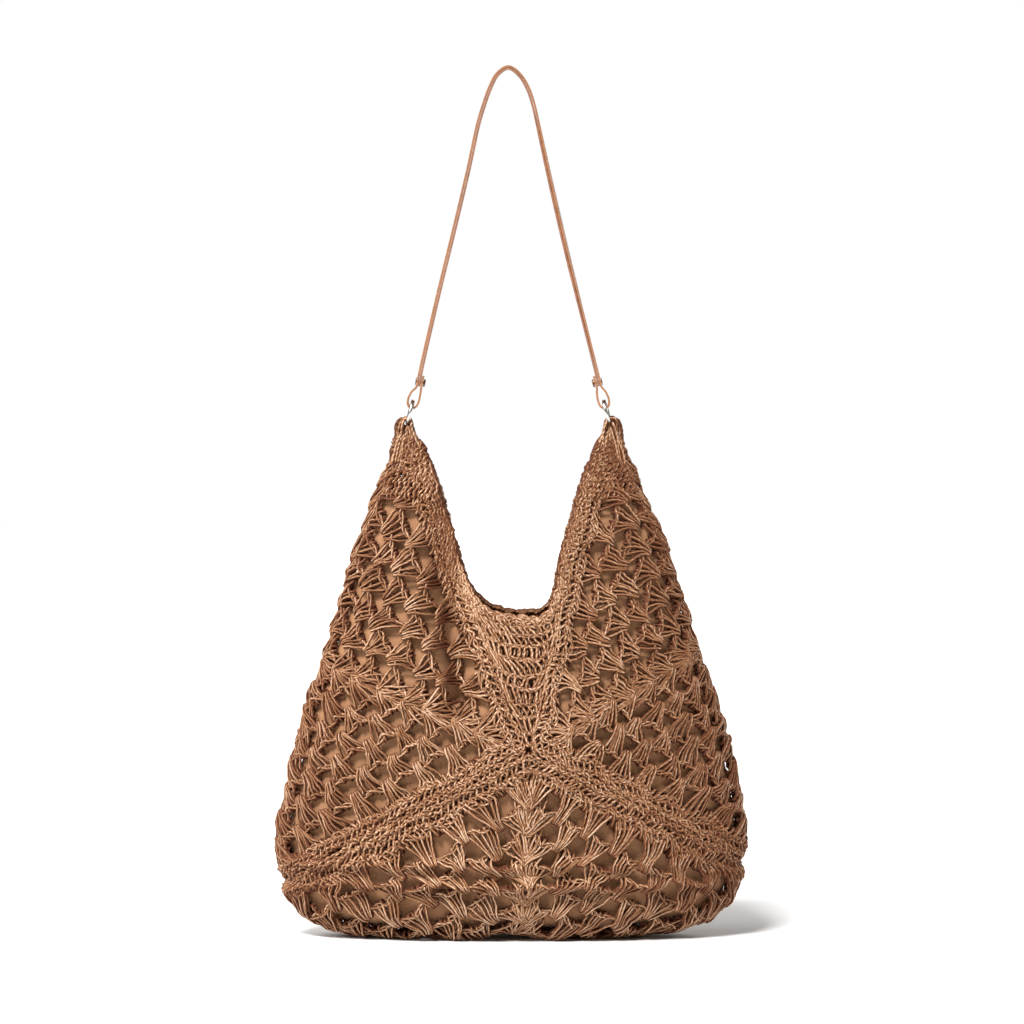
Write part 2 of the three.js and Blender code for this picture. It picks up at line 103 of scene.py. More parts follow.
def make_sun(name, come_from, softness, strength):
    """A light so far away that it's equally strong everywhere, from a given direction."""
    data = bpy.data.lights.new(name, "SUN")
    data.angle = softness
    data.energy = strength
    light = new_object(name, data)
    light.rotation_euler = Vector(come_from).to_track_quat("Z", "Y").to_euler()


def make_world():
    world = bpy.data.worlds.new("studio")
    world.use_nodes = True
    tree = world.node_tree
    lighting = tree.nodes["Background"]
    lighting.inputs["Color"].default_value = (1, 0.95, 0.90, 1)
    lighting.inputs["Strength"].default_value = 0.22
    backdrop = tree.nodes.new("ShaderNodeBackground")
    backdrop.inputs["Color"].default_value = (1, 1, 1, 1)
    backdrop.inputs["Strength"].default_value = 1.0
    mix = tree.nodes.new("ShaderNodeMixShader")
    tree.links.new(tree.nodes.new("ShaderNodeLightPath").outputs["Is Camera Ray"], mix.inputs[0])
    tree.links.new(lighting.outputs[0], mix.inputs[1])
    tree.links.new(backdrop.outputs[0], mix.inputs[2])
    tree.links.new(mix.outputs[0], tree.nodes["World Output"].inputs["Surface"])
    bpy.context.scene.world = world
    bpy.context.scene.view_settings.view_transform = "Standard"


make_camera()
make_floor()
make_world()
make_sun("key", (-0.48, -1.0, 1.45), math.radians(16), 4.4)
make_sun("left", (-1.0, -0.35, 0.9), math.radians(50), 1.9)
make_sun("behind", (0.5, 1.0, 0.7), math.radians(70), 1.3)

# ---- the skin of the bag, measured


def points_of(mesh):
    found = np.zeros(len(mesh.vertices) * 3, np.float32)
    mesh.vertices.foreach_get("co", found)
    return found.reshape(-1, 3).astype(float)


def triangles(*nodes):
    """The triangles of CAD nodes, as an array of (triangle, corner, x y z)."""
    found = []
    for name in nodes:
        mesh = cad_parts[name].data
        mesh.calc_loop_triangles()
        corners = np.zeros(len(mesh.loop_triangles) * 3, np.int32)
        mesh.loop_triangles.foreach_get("vertices", corners)
        found.append(points_of(mesh)[corners].reshape(-1, 3, 3))
    return np.concatenate(found)


def crossings(tris, normal, value=0.0):
    """The points where the triangles' edges cross a plane, or a line if they are flat."""
    starts = tris.reshape(-1, tris.shape[-1])
    ends = np.roll(tris, -1, axis=1).reshape(starts.shape)
    a, b = starts @ normal - value, ends @ normal - value
    hit = a * b < 0
    share = (a[hit] / (a[hit] - b[hit]))[:, None]
    return starts[hit] * (1 - share) + ends[hit] * share


def level_cut(tris, z):
    """A height, and the left end, right end and half depth of the ellipse that a cut there is."""
    points = crossings(tris, np.array([0.0, 0.0, 1.0]), z)
    left, right = points[:, 0].min(), points[:, 0].max()
    share = (points[:, 0] - (left + right) / 2) / ((right - left) / 2)
    inner = np.abs(share) < 0.93  # near its ends a cut is too thin to tell its depth
    depth = (np.abs(points[inner, 1]) / np.sqrt(1 - share[inner] ** 2)).max()
    return z, left, right, depth


CROCHET_NODES = ("left_square", "right_square", "bottom_square", "front_gusset", "back_gusset")
RISE_ABOVE_PEAK = 16 * MM  # the peaks' yarn goes on above the CAD squares, up to the rings
PEAK_FOOT = 0.382  # above this height the yarn is drawn in towards the rings
PEAK_DRAWN_IN = 2.5 * MM
FOLD_SHARE = 0.75  # how long the fold under the bag is, next to the flat base


class Skin:
    """The outer face of the bag: level cuts that are ellipses, and a flat pattern over them.

    A cut is named by its reach, the distance up the middle of the front from the fold under
    the bag. A point of the flat pattern is the distance round its cut from the middle of the
    front, and the reach of that cut.
    """

    def __init__(self):
        tris = triangles(*CROCHET_NODES)
        top = tris[..., 2].max()
        heights = np.concatenate([np.array([1, 2, 4, 6, 9, 13, 18, 24, 30, 38]) * MM,
                                  np.arange(46 * MM, top - 2 * MM, 8 * MM)])
        rows = [level_cut(tris, z) for z in heights]
        base = tris.reshape(-1, 3)
        base = base[base[:, 2] < 1e-6]
        left, right, depth = base[:, 0].min(), base[:, 0].max(), np.abs(base[:, 1]).max()
        middle = (left + right) / 2
        fold = (0, middle + FOLD_SHARE * (left - middle), middle + FOLD_SHARE * (right - middle), 0)
        _, last_left, last_right, _ = rows[-1]
        peak = (top + RISE_ABOVE_PEAK, last_left + 3 * MM, last_right - 3 * MM, 6 * MM)
        table = np.array([fold, (0, left, right, depth)] + rows + [peak])
        step = np.hypot(np.diff(table[:, 0]), np.diff(table[:, 3]))
        reach = running(step)
        self.reach = np.linspace(0, reach[-1], 500)
        self.height, self.left, self.right, self.depth = (
            self.smoothed(np.interp(self.reach, reach, table[:, k])) for k in range(4))
        self.height = np.maximum(self.height, 0)
        draw_in = PEAK_DRAWN_IN * np.clip((self.height - PEAK_FOOT) / (top - PEAK_FOOT), 0, 1)
        self.left += draw_in
        self.right -= draw_in
        self.half = (self.right - self.left) / 2
        self.middle = (self.left + self.right) / 2
        rise = np.gradient(self.height)
        for name, widen in (("side", np.gradient(self.half)), ("front", np.gradient(self.depth))):
            length = np.hypot(rise, widen) + 1e-9
            setattr(self, name + "_out", rise / length)
            setattr(self, name + "_down", widen / length)
        self.make_arc_tables()
        self.top = np.interp(top, self.height, self.reach)

    @staticmethod
    def smoothed(values):
        """Takes the facets of the CAD skin out, and keeps the two ends where they are."""
        width = 5
        ends = np.concatenate([np.full(width, values[0]), values, np.full(width, values[-1])])
        soft = np.convolve(ends, np.ones(width) / width, "same")[width:-width]
        soft[0], soft[-1] = values[0], values[-1]
        return soft

    def make_arc_tables(self):
        """How long a quarter of an ellipse is, and how far round it a share of that length is."""
        angles = np.linspace(0, math.pi / 2, 181)
        middles = (angles[1:] + angles[:-1]) / 2
        shares = np.linspace(0, 1, 201)
        self.ratios = np.linspace(0.0, 0.6, 61)  # of a cut's depth to its half width
        ratio = self.ratios[:, None]
        steps = np.hypot(np.cos(middles), ratio * np.sin(middles)) * (angles[1] - angles[0])
        runs = np.array([running(row) for row in steps])
        self.length_table = runs[:, -1]
        self.angle_table = np.array([np.interp(shares, run / run[-1], angles) for run in runs])

    def girth(self, reach):
        """The distance round a cut from the middle of the front to the side."""
        half, depth = lookup(reach, self.reach, self.half, self.depth)
        return half * np.interp(depth / half, self.ratios, self.length_table)

    def angle(self, share, ratio):
        """The angle round a cut at a share of the distance from its middle to its side."""
        table = self.angle_table
        i = np.clip(ratio / self.ratios[1], 0, len(table) - 1.001)
        j = np.clip(share * (table.shape[1] - 1), 0, table.shape[1] - 1.001)
        i0, j0 = i.astype(int), j.astype(int)
        fi, fj = i - i0, j - j0
        low = table[i0, j0] * (1 - fj) + table[i0, j0 + 1] * fj
        high = table[i0 + 1, j0] * (1 - fj) + table[i0 + 1, j0 + 1] * fj
        return low * (1 - fi) + high * fi

    def pattern(self, x, z):
        """The flat pattern's point at an x and a height of the front."""
        x, z = np.broadcast_arrays(np.asarray(x, float), np.asarray(z, float))
        low = np.searchsorted(self.height, 1e-5)
        reach = np.interp(z, self.height[low:], self.reach[low:])
        half, depth, middle = lookup(reach, self.reach, self.half, self.depth, self.middle)
        ratio = depth / half
        angle = np.arcsin(np.clip((x - middle) / half, -1, 1))
        grid = np.linspace(0, math.pi / 2, 60)
        found = np.zeros(np.shape(x))
        for index in np.ndindex(np.shape(x)):
            steps = np.hypot(np.cos(grid), ratio[index] * np.sin(grid)) * (grid[1] - grid[0])
            run = running((steps[1:] + steps[:-1]) / 2)
            found[index] = np.sign(angle[index]) * half[index] * np.interp(abs(angle[index]), grid, run)
        return np.stack([found, reach], -1)

    def held_to(self, points, start, fade, lift):
        """How far points are from the middle plane, once those under a height lie on the bag."""
        middle, half, depth = lookup(points[:, 2], self.height, self.middle, self.half, self.depth)
        share = np.clip((points[:, 0] - middle) / half, -1, 1)
        most = depth * np.sqrt(1 - share ** 2) + lift
        held = np.clip(points[:, 1], -most, most)
        return points[:, 1] + (held - points[:, 1]) * np.clip((start - points[:, 2]) / fade, 0, 1)

    def place(self, around, reach, face, lift):
        """Points on the bag, some way above its face. face is 1 in front and -1 behind."""
        reach = np.clip(reach, 0, self.reach[-1])
        half, depth, middle, height = lookup(reach, self.reach, self.half, self.depth, self.middle,
                                             self.height)
        side_out, side_down, front_out, front_down = lookup(
            reach, self.reach, self.side_out, self.side_down, self.front_out, self.front_down)
        share = np.clip(np.abs(around) / self.girth(reach), 0, 1)
        angle = self.angle(share, depth / half)
        out, front = np.sign(around) * np.sin(angle), np.cos(angle)
        x = middle + out * (half + lift * side_out)
        y = -face * front * (depth + lift * front_out)
        z = height - lift * (side_down * out ** 2 + front_down * front ** 2)
        return settle(np.stack([x, y, z], -1))


# Soft hollows in the cloth: a line from one point to another (x and height), its half width
# and how far it sinks in.
HOLLOWS = (
    ((-0.054, 0.335), (-0.040, 0.195), 0.011, 0.016),
    ((0.056, 0.300), (0.050, 0.205), 0.016, 0.003),
    ((-0.105, 0.120), (-0.060, 0.085), 0.030, 0.003),
    ((0.090, 0.130), (0.050, 0.085), 0.034, 0.003),
)
LEAST_DEPTH = 12 * MM  # points this near the middle plane don't sink in
ARCH_RISE = 6 * MM  # the bottom doesn't touch the floor in the middle
ARCH_HALF = 22 * MM
ARCH_FADE = 40 * MM


def settle(points):
    """Presses the hollows into points of the bag, and arches its bottom."""
    x, z = points[..., 0], points[..., 2]
    sink = np.zeros(x.shape)
    for (x0, z0), (x1, z1), width, depth in HOLLOWS:
        along = np.array([x1 - x0, z1 - z0])
        share = np.clip(((x - x0) * along[0] + (z - z0) * along[1]) / (along @ along), 0, 1)
        away = np.hypot(x - x0 - share * along[0], z - z0 - share * along[1])
        sink += depth * np.exp(-(away / width) ** 2)
    y = points[..., 1]
    room = np.maximum(np.abs(y) - LEAST_DEPTH, 0)
    points[..., 1] = np.sign(y) * (np.abs(y) - np.minimum(sink, 0.6 * room))
    near_floor = np.clip(1 - z / ARCH_FADE, 0, 1)
    points[..., 2] = z + ARCH_RISE * near_floor * np.exp(-(x / ARCH_HALF) ** 2)
    return points


skin = Skin()

# ---- lines of the flat pattern


def resample(points, shares):
    """Points at shares of the way along a chain of points."""
    points = np.asarray(points, float)
    step = np.hypot(*np.diff(points, axis=0).T)
    run = running(step)
    run = run / run[-1]
    return np.stack(lookup(shares, run, *points.T), -1)


LINE_SHARES = np.linspace(0, 1, 200)  # where the points of an even line lie


def point_on(line, share):
    """Points at shares of the way along an even line."""
    return np.stack(lookup(share, LINE_SHARES, *line.T), -1)


def measure_mouth():
    """The mouth's edge and the lower edge of its edging, as x and height, from left to right."""
    tris = triangles("mouth_edging_front")[..., [0, 2]]
    low, high = tris.reshape(-1, 2).min(0), tris.reshape(-1, 2).max(0)
    eye = np.array([(low[0] + high[0]) / 2, high[1]])
    inner, outer = [], []
    for turn in np.linspace(math.pi + 0.01, 2 * math.pi - 0.01, 121):
        ahead = np.array([math.cos(turn), math.sin(turn)])
        distance = crossings(tris - eye, np.array([-ahead[1], ahead[0]])) @ ahead
        distance = distance[distance > 0]
        if len(distance):
            inner.append(eye + ahead * distance.min())
            outer.append(eye + ahead * distance.max())
    return np.array(inner), np.array(outer)


def corner_height(node, sign):
    """The height at which a seam meets the side of the bag."""
    points = triangles(node).reshape(-1, 3)
    reach = (points[:, 0] * sign).max()
    return points[points[:, 0] * sign > reach - 2 * MM][:, 2].mean()


mouth_edge, edging_edge = measure_mouth()
mouth_line = skin.pattern(mouth_edge[:, 0], mouth_edge[:, 1])
edging_line = skin.pattern(edging_edge[:, 0], edging_edge[:, 1])
gusset_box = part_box("front_gusset")
square_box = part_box("bottom_square")
gusset_points = triangles("front_gusset").reshape(-1, 3)
tip_x = gusset_points[gusset_points[:, 2] < gusset_box[0].z + MM][:, 0].mean()
CENTRE = skin.pattern(tip_x, (gusset_box[0].z + square_box[1].z) / 2)
CORNER = {}
for side_name, sign in (("left", -1), ("right", 1)):
    z = corner_height("seam_front_" + side_name, sign)
    reach = skin.pattern(0.0, z)[1]
    CORNER[side_name] = np.array([sign * skin.girth(reach), reach])
SEAM_HALF = 3.2 * MM  # half the width of the joining rows


def seam_directions(name):
    """Along a seam from the centre to the side, and across it towards the bottom."""
    ahead = unit(CORNER[name] - CENTRE)
    down = np.array([-ahead[1], ahead[0]]) if name == "left" else np.array([ahead[1], -ahead[0]])
    return ahead, down


def edge_share(x):
    """Where along the edging's lower edge a given x lies, near the middle of the mouth."""
    step = np.hypot(*np.diff(edging_line, axis=0).T)
    run = running(step) / step.sum()
    middle = len(run) // 2
    half = slice(0, middle + 1) if x < edging_edge[middle, 0] else slice(middle, None)
    return np.interp(x, edging_edge[half, 0], run[half])


GUSSET_TOP = (edge_share(gusset_box[0].x), edge_share(gusset_box[1].x))

# ---- folded squares

SQUARE_HALF = 136 * MM  # half the side of a flat square


class FoldedSquare:
    """A flat square folded on a diagonal and laid on the bag.

    Its middle lies on the fold. Two corners are the ends of the fold, and the other two are
    the front corner and the one behind it.
    """

    def __init__(self, fold, first_side, second_side):
        self.fold = resample(fold, LINE_SHARES)
        self.sides = [resample(first_side, LINE_SHARES), resample(second_side, LINE_SHARES)]

    def place(self, flat, lift):
        """Flat points, measured from the square's middle, as points on the bag."""
        across, up = flat[..., 0] / SQUARE_HALF, flat[..., 1] / SQUARE_HALF
        slide, out = (across - up) / 2, (across + up) / 2
        ring = np.abs(slide) + np.abs(out)
        share = np.abs(out) / np.maximum(ring, 1e-9)
        middle = point_on(self.fold, 0.5)
        first = (slide <= 0)[..., None]
        edge = np.where(first, point_on(self.sides[0], share), point_on(self.sides[1], share))
        end = np.where(first, self.fold[0], self.fold[-1])
        on_fold = point_on(self.fold, 0.5 + 0.5 * np.where(slide > 0, 1, -1) * ring)
        ring, share = ring[..., None], share[..., None]
        pull = (on_fold - (middle + ring * (end - middle))) * (1 - share) ** 2
        point = middle + ring * (edge - middle) + pull
        face = np.where(out < 0, -1.0, 1.0)
        return skin.place(point[..., 0], point[..., 1], face, lift)


def side_square(name):
    sign = -1 if name == "left" else 1
    ahead, down = seam_directions(name)
    reach = np.linspace(skin.top - MM, CORNER[name][1] + SEAM_HALF, 80)
    fold = np.stack([sign * skin.girth(reach), reach], -1)
    neck = (0.0, GUSSET_TOP[0]) if name == "left" else (1.0, GUSSET_TOP[1])
    neck_line = resample(edging_line, np.linspace(*neck, 60))
    front = CENTRE - down * SEAM_HALF + ahead * 2.5 * MM
    return FoldedSquare(fold, np.vstack([fold[:1], neck_line, front]), np.vstack([fold[-1:], front]))


def bottom_square():
    left = np.linspace(CORNER["left"][1] - SEAM_HALF, 0, 60)
    right = np.linspace(0, CORNER["right"][1] - SEAM_HALF, 60)
    fold = np.vstack([np.stack([-skin.girth(left), left], -1), np.stack([skin.girth(right), right], -1)])
    down = seam_directions("left")[1] + seam_directions("right")[1]
    front = CENTRE + down * SEAM_HALF / (down @ down / 2)
    return FoldedSquare(fold, np.vstack([fold[:1], front]), np.vstack([fold[-1:], front]))


# ---- yarn

YARN_RADIUS = 1.10 * MM
YARN_SIDES = 6
YARN_TWIST = 2 * math.pi / (8 * MM)  # turn of the two plies for each metre
PLY_RISE = 0.16  # how far the two plies stand out, as a share of the radius
YARN_MAP_LENGTH = 10 * MM  # what one unit of the yarn's UV map stands for
FAR_FROM_STRANDS = np.array([0.31, 0.27, 0.91])  # a direction that strands don't start along
STRAND_STEP = 1.6 * MM  # between the rings of points along a strand


def smooth_path(points, count):
    """A smooth curve through each strand's points: (strand, point, k) to (strand, count, k)."""
    number = points.shape[1]
    place = np.linspace(0, number - 1, count)
    i = np.clip(place.astype(int), 0, number - 2)
    t = (place - i)[None, :, None]
    before = points[:, np.maximum(i - 1, 0)]
    start, end = points[:, i], points[:, i + 1]
    after = points[:, np.minimum(i + 2, number - 1)]
    return 0.5 * (2 * start + (end - before) * t + (2 * before - 5 * start + 4 * end - after) * t ** 2
                  + (3 * start - before - 3 * end + after) * t ** 3)


class Yarn:
    """Collects strands and turns them into one mesh of twisted tubes with closed ends."""

    def __init__(self):
        self.parts = []
        self.count = 0

    def lay_flat(self, place, flat, radius=YARN_RADIUS):
        """Adds strands of a flat pattern, which place turns into points on the bag."""
        lift = flat[..., 2] + YARN_DEPTH
        paths = place(flat[..., :2], lift)
        paths[..., 2] = np.maximum(paths[..., 2], 1.1 * radius)
        outward = place(flat[..., :2], lift + MM) - paths
        self.lay(paths, radius, unit(outward), lift)

    def lay(self, paths, radius, outward, lift):
        """Adds strands that all have the same number of points: (strand, point, x y z).

        outward and lift say for each point which way is out of the bag and how far out it is.
        """
        strands, rings = paths.shape[:2]
        ahead = unit(np.gradient(paths, axis=1))
        side = np.zeros((strands, rings, 3))
        side[:, 0] = unit(np.cross(ahead[:, 0], FAR_FROM_STRANDS))
        for k in range(1, rings):
            before, now = side[:, k - 1], ahead[:, k]
            side[:, k] = unit(before - (before * now).sum(1, keepdims=True) * now)
        over = np.cross(ahead, side)
        steps = np.linalg.norm(np.diff(paths, axis=1), axis=2)
        run = np.concatenate([np.zeros((strands, 1)), np.cumsum(steps, 1)], 1)
        start = rng.uniform(0, 2 * math.pi, (strands, 1))
        thick = radius * rng.uniform(0.92, 1.08, (strands, 1))
        turn = np.arange(YARN_SIDES) * 2 * math.pi / YARN_SIDES
        ply = start + run * YARN_TWIST
        size = thick[..., None] * (1 + PLY_RISE * np.cos(2 * (turn - ply[..., None])))
        size[:, [0, -1]] *= 0.7
        offset = (side[:, :, None] * (size * np.cos(turn))[..., None]
                  + over[:, :, None] * (size * np.sin(turn))[..., None])
        points = paths[:, :, None] + offset
        # yarn_material paints shade and a highlight from relief and depth.
        relief = (offset * outward[:, :, None]).sum(-1)
        depth = lift[..., None] + relief
        shade = np.broadcast_to(rng.uniform(0, 1, (strands, 1, 1)), points.shape[:3])
        self.parts.append((points, run, (shade, depth, relief / radius), self.count))
        self.count += points.shape[0] * rings * YARN_SIDES

    def mesh(self, name):
        """One mesh, with the run along the yarn as its UV map and three values at each point.

        tone differs from strand to strand, depth is how far out of the CAD skin the point lies,
        and relief is how far it stands out from its strand's middle line, in radii.
        """
        places, quads, uvs, caps, cap_uvs = [], [], [], [], []
        values = {"tone": [], "depth": [], "relief": []}
        for points, run, painted, first in self.parts:
            strands, rings = points.shape[:2]
            places.append(points.reshape(-1, 3))
            for label, value in zip(values, painted, strict=True):
                values[label].append(value.reshape(-1))
            index = first + np.arange(strands * rings * YARN_SIDES).reshape(strands, rings, YARN_SIDES)
            beside = np.roll(index, -1, axis=2)
            quad = np.stack([index[:, :-1], beside[:, :-1], beside[:, 1:], index[:, 1:]], -1)
            quads.append(quad.reshape(-1, 4))
            v = np.arange(YARN_SIDES) / YARN_SIDES
            u = run / YARN_MAP_LENGTH
            low = np.broadcast_to(u[:, :-1, None], quad.shape[:3])
            high = np.broadcast_to(u[:, 1:, None], quad.shape[:3])
            here = np.broadcast_to(v, quad.shape[:3])
            there = here + 1 / YARN_SIDES
            corner_uv = np.stack([low, here, low, there, high, there, high, here], -1)
            uvs.append(corner_uv.reshape(-1, 4, 2))
            caps.append(np.concatenate([index[:, 0, ::-1], index[:, -1]]))
            cap_uvs.append(np.repeat(np.concatenate([u[:, 0], u[:, -1]]), YARN_SIDES))
        quads, uvs, caps = np.concatenate(quads), np.concatenate(uvs), np.concatenate(caps)
        cap_u = np.concatenate(cap_uvs)
        cap_uv = np.stack([cap_u, np.zeros_like(cap_u)], -1)
        loops = np.concatenate([quads.reshape(-1), caps.reshape(-1)])
        cap_starts = len(quads) * 4 + np.arange(len(caps)) * YARN_SIDES
        starts = np.concatenate([np.arange(len(quads)) * 4, cap_starts])
        mesh = bpy.data.meshes.new(name)
        mesh.vertices.add(self.count)
        mesh.vertices.foreach_set("co", np.concatenate(places).reshape(-1).astype(np.float32))
        mesh.loops.add(len(loops))
        mesh.loops.foreach_set("vertex_index", loops.astype(np.int32))
        mesh.polygons.add(len(starts))
        mesh.polygons.foreach_set("loop_start", starts.astype(np.int32))
        mesh.update(calc_edges=True)
        layer = mesh.uv_layers.new(name="along_yarn")
        all_uv = np.concatenate([uvs.reshape(-1, 2), cap_uv])
        layer.uv.foreach_set("vector", all_uv.reshape(-1).astype(np.float32))
        for label, value in values.items():
            attribute = mesh.attributes.new(label, "FLOAT", "POINT")
            attribute.data.foreach_set("value", np.concatenate(value).astype(np.float32))
        mesh.shade_smooth()
        return mesh


def wobble(shape, size):
    """The unevenness of hand work in numbers that don't depend on each other."""
    return rng.normal(0, size, shape)


class Drift:
    """The unevenness that stitches share: waves that shift them sideways, outward and in depth."""

    def __init__(self, long_shift, short_shift, long_rise):
        self.waves = []
        for count, low, high, shift, rise in ((7, 26, 60, long_shift, long_rise),
                                              (9, 8, 16, short_shift, 0.4 * long_rise)):
            for _ in range(count):
                turn, length = rng.uniform(0, 2 * math.pi), rng.uniform(low, high) * MM
                number = 2 * math.pi / length * np.array([math.cos(turn), math.sin(turn)])
                size = np.array([shift, shift, rise]) / math.sqrt(count) * rng.uniform(-2, 2, 3)
                self.waves.append((number, rng.uniform(0, 2 * math.pi), size))

    def move(self, flat):
        moved = flat.copy()
        for number, phase, size in self.waves:
            moved += np.sin(flat[..., :2] @ number + phase)[..., None] * size
        return moved


# ---- stitches, on flat patterns

# A stitch is a row of control points: sideways, outward and above the cloth, in metres.
# The foot of a row is where its stitches are hooked in, and its head is where they end.


def stitches(feet, row_foot, rows):
    """A strand for each foot, through control points measured from it."""
    full = np.ones(len(feet))
    points = [np.stack([feet + a, (row_foot + b) * full, c * full], -1) for a, b, c in rows]
    return np.stack(points, 1)


def fans(feet, aims, row_foot, row_height, spread, strands):
    """Fans of straight strands, hooked together round the row before, spreading to their head."""
    count = len(feet) * strands
    share = np.tile(np.linspace(-1, 1, strands), len(feet)) + wobble(count, 0.07)
    foot = np.repeat(feet, strands)
    shift = np.repeat(np.asarray(aims) - feet + wobble(len(feet), 0.9 * MM), strands)
    root = share * 3.2 * MM
    layer = np.where(np.arange(count) % 2, 0.55, -0.45) * MM
    head = share * spread + shift
    swell = wobble(count, 0.45 * MM)
    short = 0.05 * row_height * share ** 2 + np.abs(wobble(count, 0.6 * MM))
    h = row_height
    rows = [
        (root * 0.4, 3.2 * MM, -3.4 * MM),
        (root * 0.5, -0.8 * MM, -3.0 * MM),
        (root * 0.6, -3.5 * MM, -1.4 * MM),
        (root * 0.8, -4.2 * MM, 0.7 * MM + 0.6 * layer),
        (root + head * 0.03, -2.3 * MM, 2.3 * MM + 0.5 * swell + layer),
        (root + (head - root) * 0.26, 0.20 * h, 2.5 * MM + swell + 0.7 * layer),
        (root + (head - root) * 0.54, 0.48 * h, 2.0 * MM + swell),
        (root + (head - root) * 0.81, 0.76 * h, 1.5 * MM + 0.7 * swell),
        (head, 1.02 * h - short, 0.7 * MM),
        (head * 1.02, 1.10 * h - short, -0.5 * MM),
        (head * 1.02, 1.09 * h - short, -1.9 * MM),
        (head * 0.98, 0.97 * h - short, -3.0 * MM),
    ]
    return stitches(foot, row_foot, rows)


def fan_backs(feet, aims, row_foot, row_height, spread, strands):
    """The strands at the back of a fan, between the front ones. They lie deep, so yarn_material paints
    shade on them.
    """
    count = len(feet) * strands
    share = np.tile(np.linspace(-0.84, 0.84, strands), len(feet)) + wobble(count, 0.05)
    foot = np.repeat(feet, strands)
    shift = np.repeat(np.asarray(aims) - feet, strands)
    root, head, h = share * 3.0 * MM, share * spread + shift, row_height
    rows = [
        (root, -2.8 * MM, -2.0 * MM),
        (root + (head - root) * 0.3, 0.26 * h, -0.7 * MM),
        (root + (head - root) * 0.7, 0.68 * h, -1.3 * MM),
        (head, 1.08 * h, -2.6 * MM),
    ]
    return stitches(foot, row_foot, rows)


def chain_pair(start, end, row, rise, above=0.0):
    """A chain from one pinch to the next: two strands, pulled outward at both ends."""
    count = 13
    t = np.linspace(0, 1, count)
    length = end - start
    drawn = rise * np.abs(2 * t - 1) ** 1.3
    lines = []
    for sign in (1, -1):
        apart = sign * 1.25 * MM * np.cos(3 * math.pi * t)
        height = above + sign * 0.9 * MM * np.sin(3 * math.pi * t) + wobble(count, 0.15 * MM)
        along = start + t * length + wobble(count, 0.25 * MM)
        lines.append(np.stack([along, row + drawn + apart, height], -1))
    return np.array(lines)


BRAID_SWING = 1.35 * MM  # how far a plait's strands go to each side


def braid(start, end, row, pitch, swing=BRAID_SWING, above=0.0):
    """Two strands that plait along a row, as a chain of stitches shows them."""
    turns = max(round((end - start) / pitch), 1)
    count = turns * 6 + 1
    s = np.linspace(start, end, count)
    phase = np.linspace(0, 2 * math.pi * turns, count)
    lines = []
    for sign in (1, -1):
        aside = sign * swing * np.sin(phase) + wobble(count, 0.18 * MM)
        height = above + 0.9 * MM * np.sin(2 * phase + (0 if sign > 0 else math.pi))
        lines.append(np.stack([s, row + aside, height], -1))
    return np.array(lines)


def posts(start, end, row_foot, row_height, pitch, slant, above=0.0, paired=0.0):
    """A solid row: a strand for each stitch, bent over the row before and its own head.

    slant is how far a stitch leans sideways, and paired draws stitches together in twos.
    """
    count = max(int((end - start) / pitch), 1)
    s = start + (np.arange(count) + 0.5) * (end - start) / count + wobble(count, 0.35 * MM)
    s += np.where(np.arange(count) % 2, -1, 1) * paired / 2
    lean = slant + wobble(count, 0.5 * MM)
    swell = wobble(count, 0.4 * MM)
    h = row_height
    rows = [
        (-0.55 * lean, 0.6 * MM, -3.0 * MM),
        (-0.60 * lean, -1.3 * MM, -1.6 * MM),
        (-0.58 * lean, -1.5 * MM, 0.4 * MM),
        (-0.36 * lean, 0.16 * h, 1.9 * MM + swell),
        (0.02 * lean, 0.50 * h, 2.2 * MM + swell),
        (0.38 * lean, 0.84 * h, 1.8 * MM + swell),
        (0.58 * lean, h + 1.3 * MM, 0.4 * MM),
        (0.60 * lean, h + 1.2 * MM, -1.6 * MM),
        (0.55 * lean, h - 0.6 * MM, -3.0 * MM),
    ]
    return stitches(s, row_foot, [(a, b, c + above) for a, b, c in rows])


def steps_for(paths, coarse=1.0):
    """How many points the strands need, from the longest of them."""
    length = np.linalg.norm(np.diff(paths, axis=1), axis=2).sum(1).max()
    return max(int(length / (STRAND_STEP * coarse)) + 2, 5)


# ---- the crocheted squares

OPEN_ROUNDS = 8
SOLID_ROUNDS = 2
SOLID_HEIGHT = 6.2 * MM
PLAIT_PITCH = 11.6 * MM  # the plaits that lie on the solid rows
PLAIT_RADIUS = 1.30 * MM
PLAIT_RISE = 1.5 * MM
POST_RADIUS = 1.22 * MM
ROUND_HEIGHT = (SQUARE_HALF - SOLID_ROUNDS * SOLID_HEIGHT) / OPEN_ROUNDS
FAN_SPREAD = 0.74 * ROUND_HEIGHT
FAN_STRANDS = 6
FAN_FOOT = 1.9 * MM  # where a fan starts, beyond the round before
BACK_STRANDS = 5
CORNER_STRANDS = 7
CORNER_SPREAD = 11.5 * MM
CHAIN_RISE = 5.2 * MM  # a fan pulls the chain it's hooked round this far outward
YARN_DEPTH = -1.9 * MM  # the middle of the stitches lies this far under the CAD skin
POST_PITCH = 5.8 * MM
FILLER_PITCH = 3.4 * MM  # of the stitches that close a solid row from behind
# How much further apart than STRAND_STEP the points of a strand lie.
FAN_COARSE = 1.25
FAN_BACK_COARSE = 2.8
FILLER_COARSE = 1.8


def turned(paths, quarter):
    """Strands of the side that faces up the square, moved to one of its four sides."""
    s, r = paths[..., 0], paths[..., 1]
    for _ in range(quarter):
        s, r = -r, s
    return np.stack([s, r, paths[..., 2]], -1)


def on_diagonal(paths, foot):
    """Strands that point outward, moved to the corner between this side and the next one."""
    s, r = paths[..., 0], paths[..., 1]
    half = math.sqrt(0.5)
    return np.stack([foot + half * (r + s), foot + half * (r - s), paths[..., 2] - 0.6 * MM], -1)


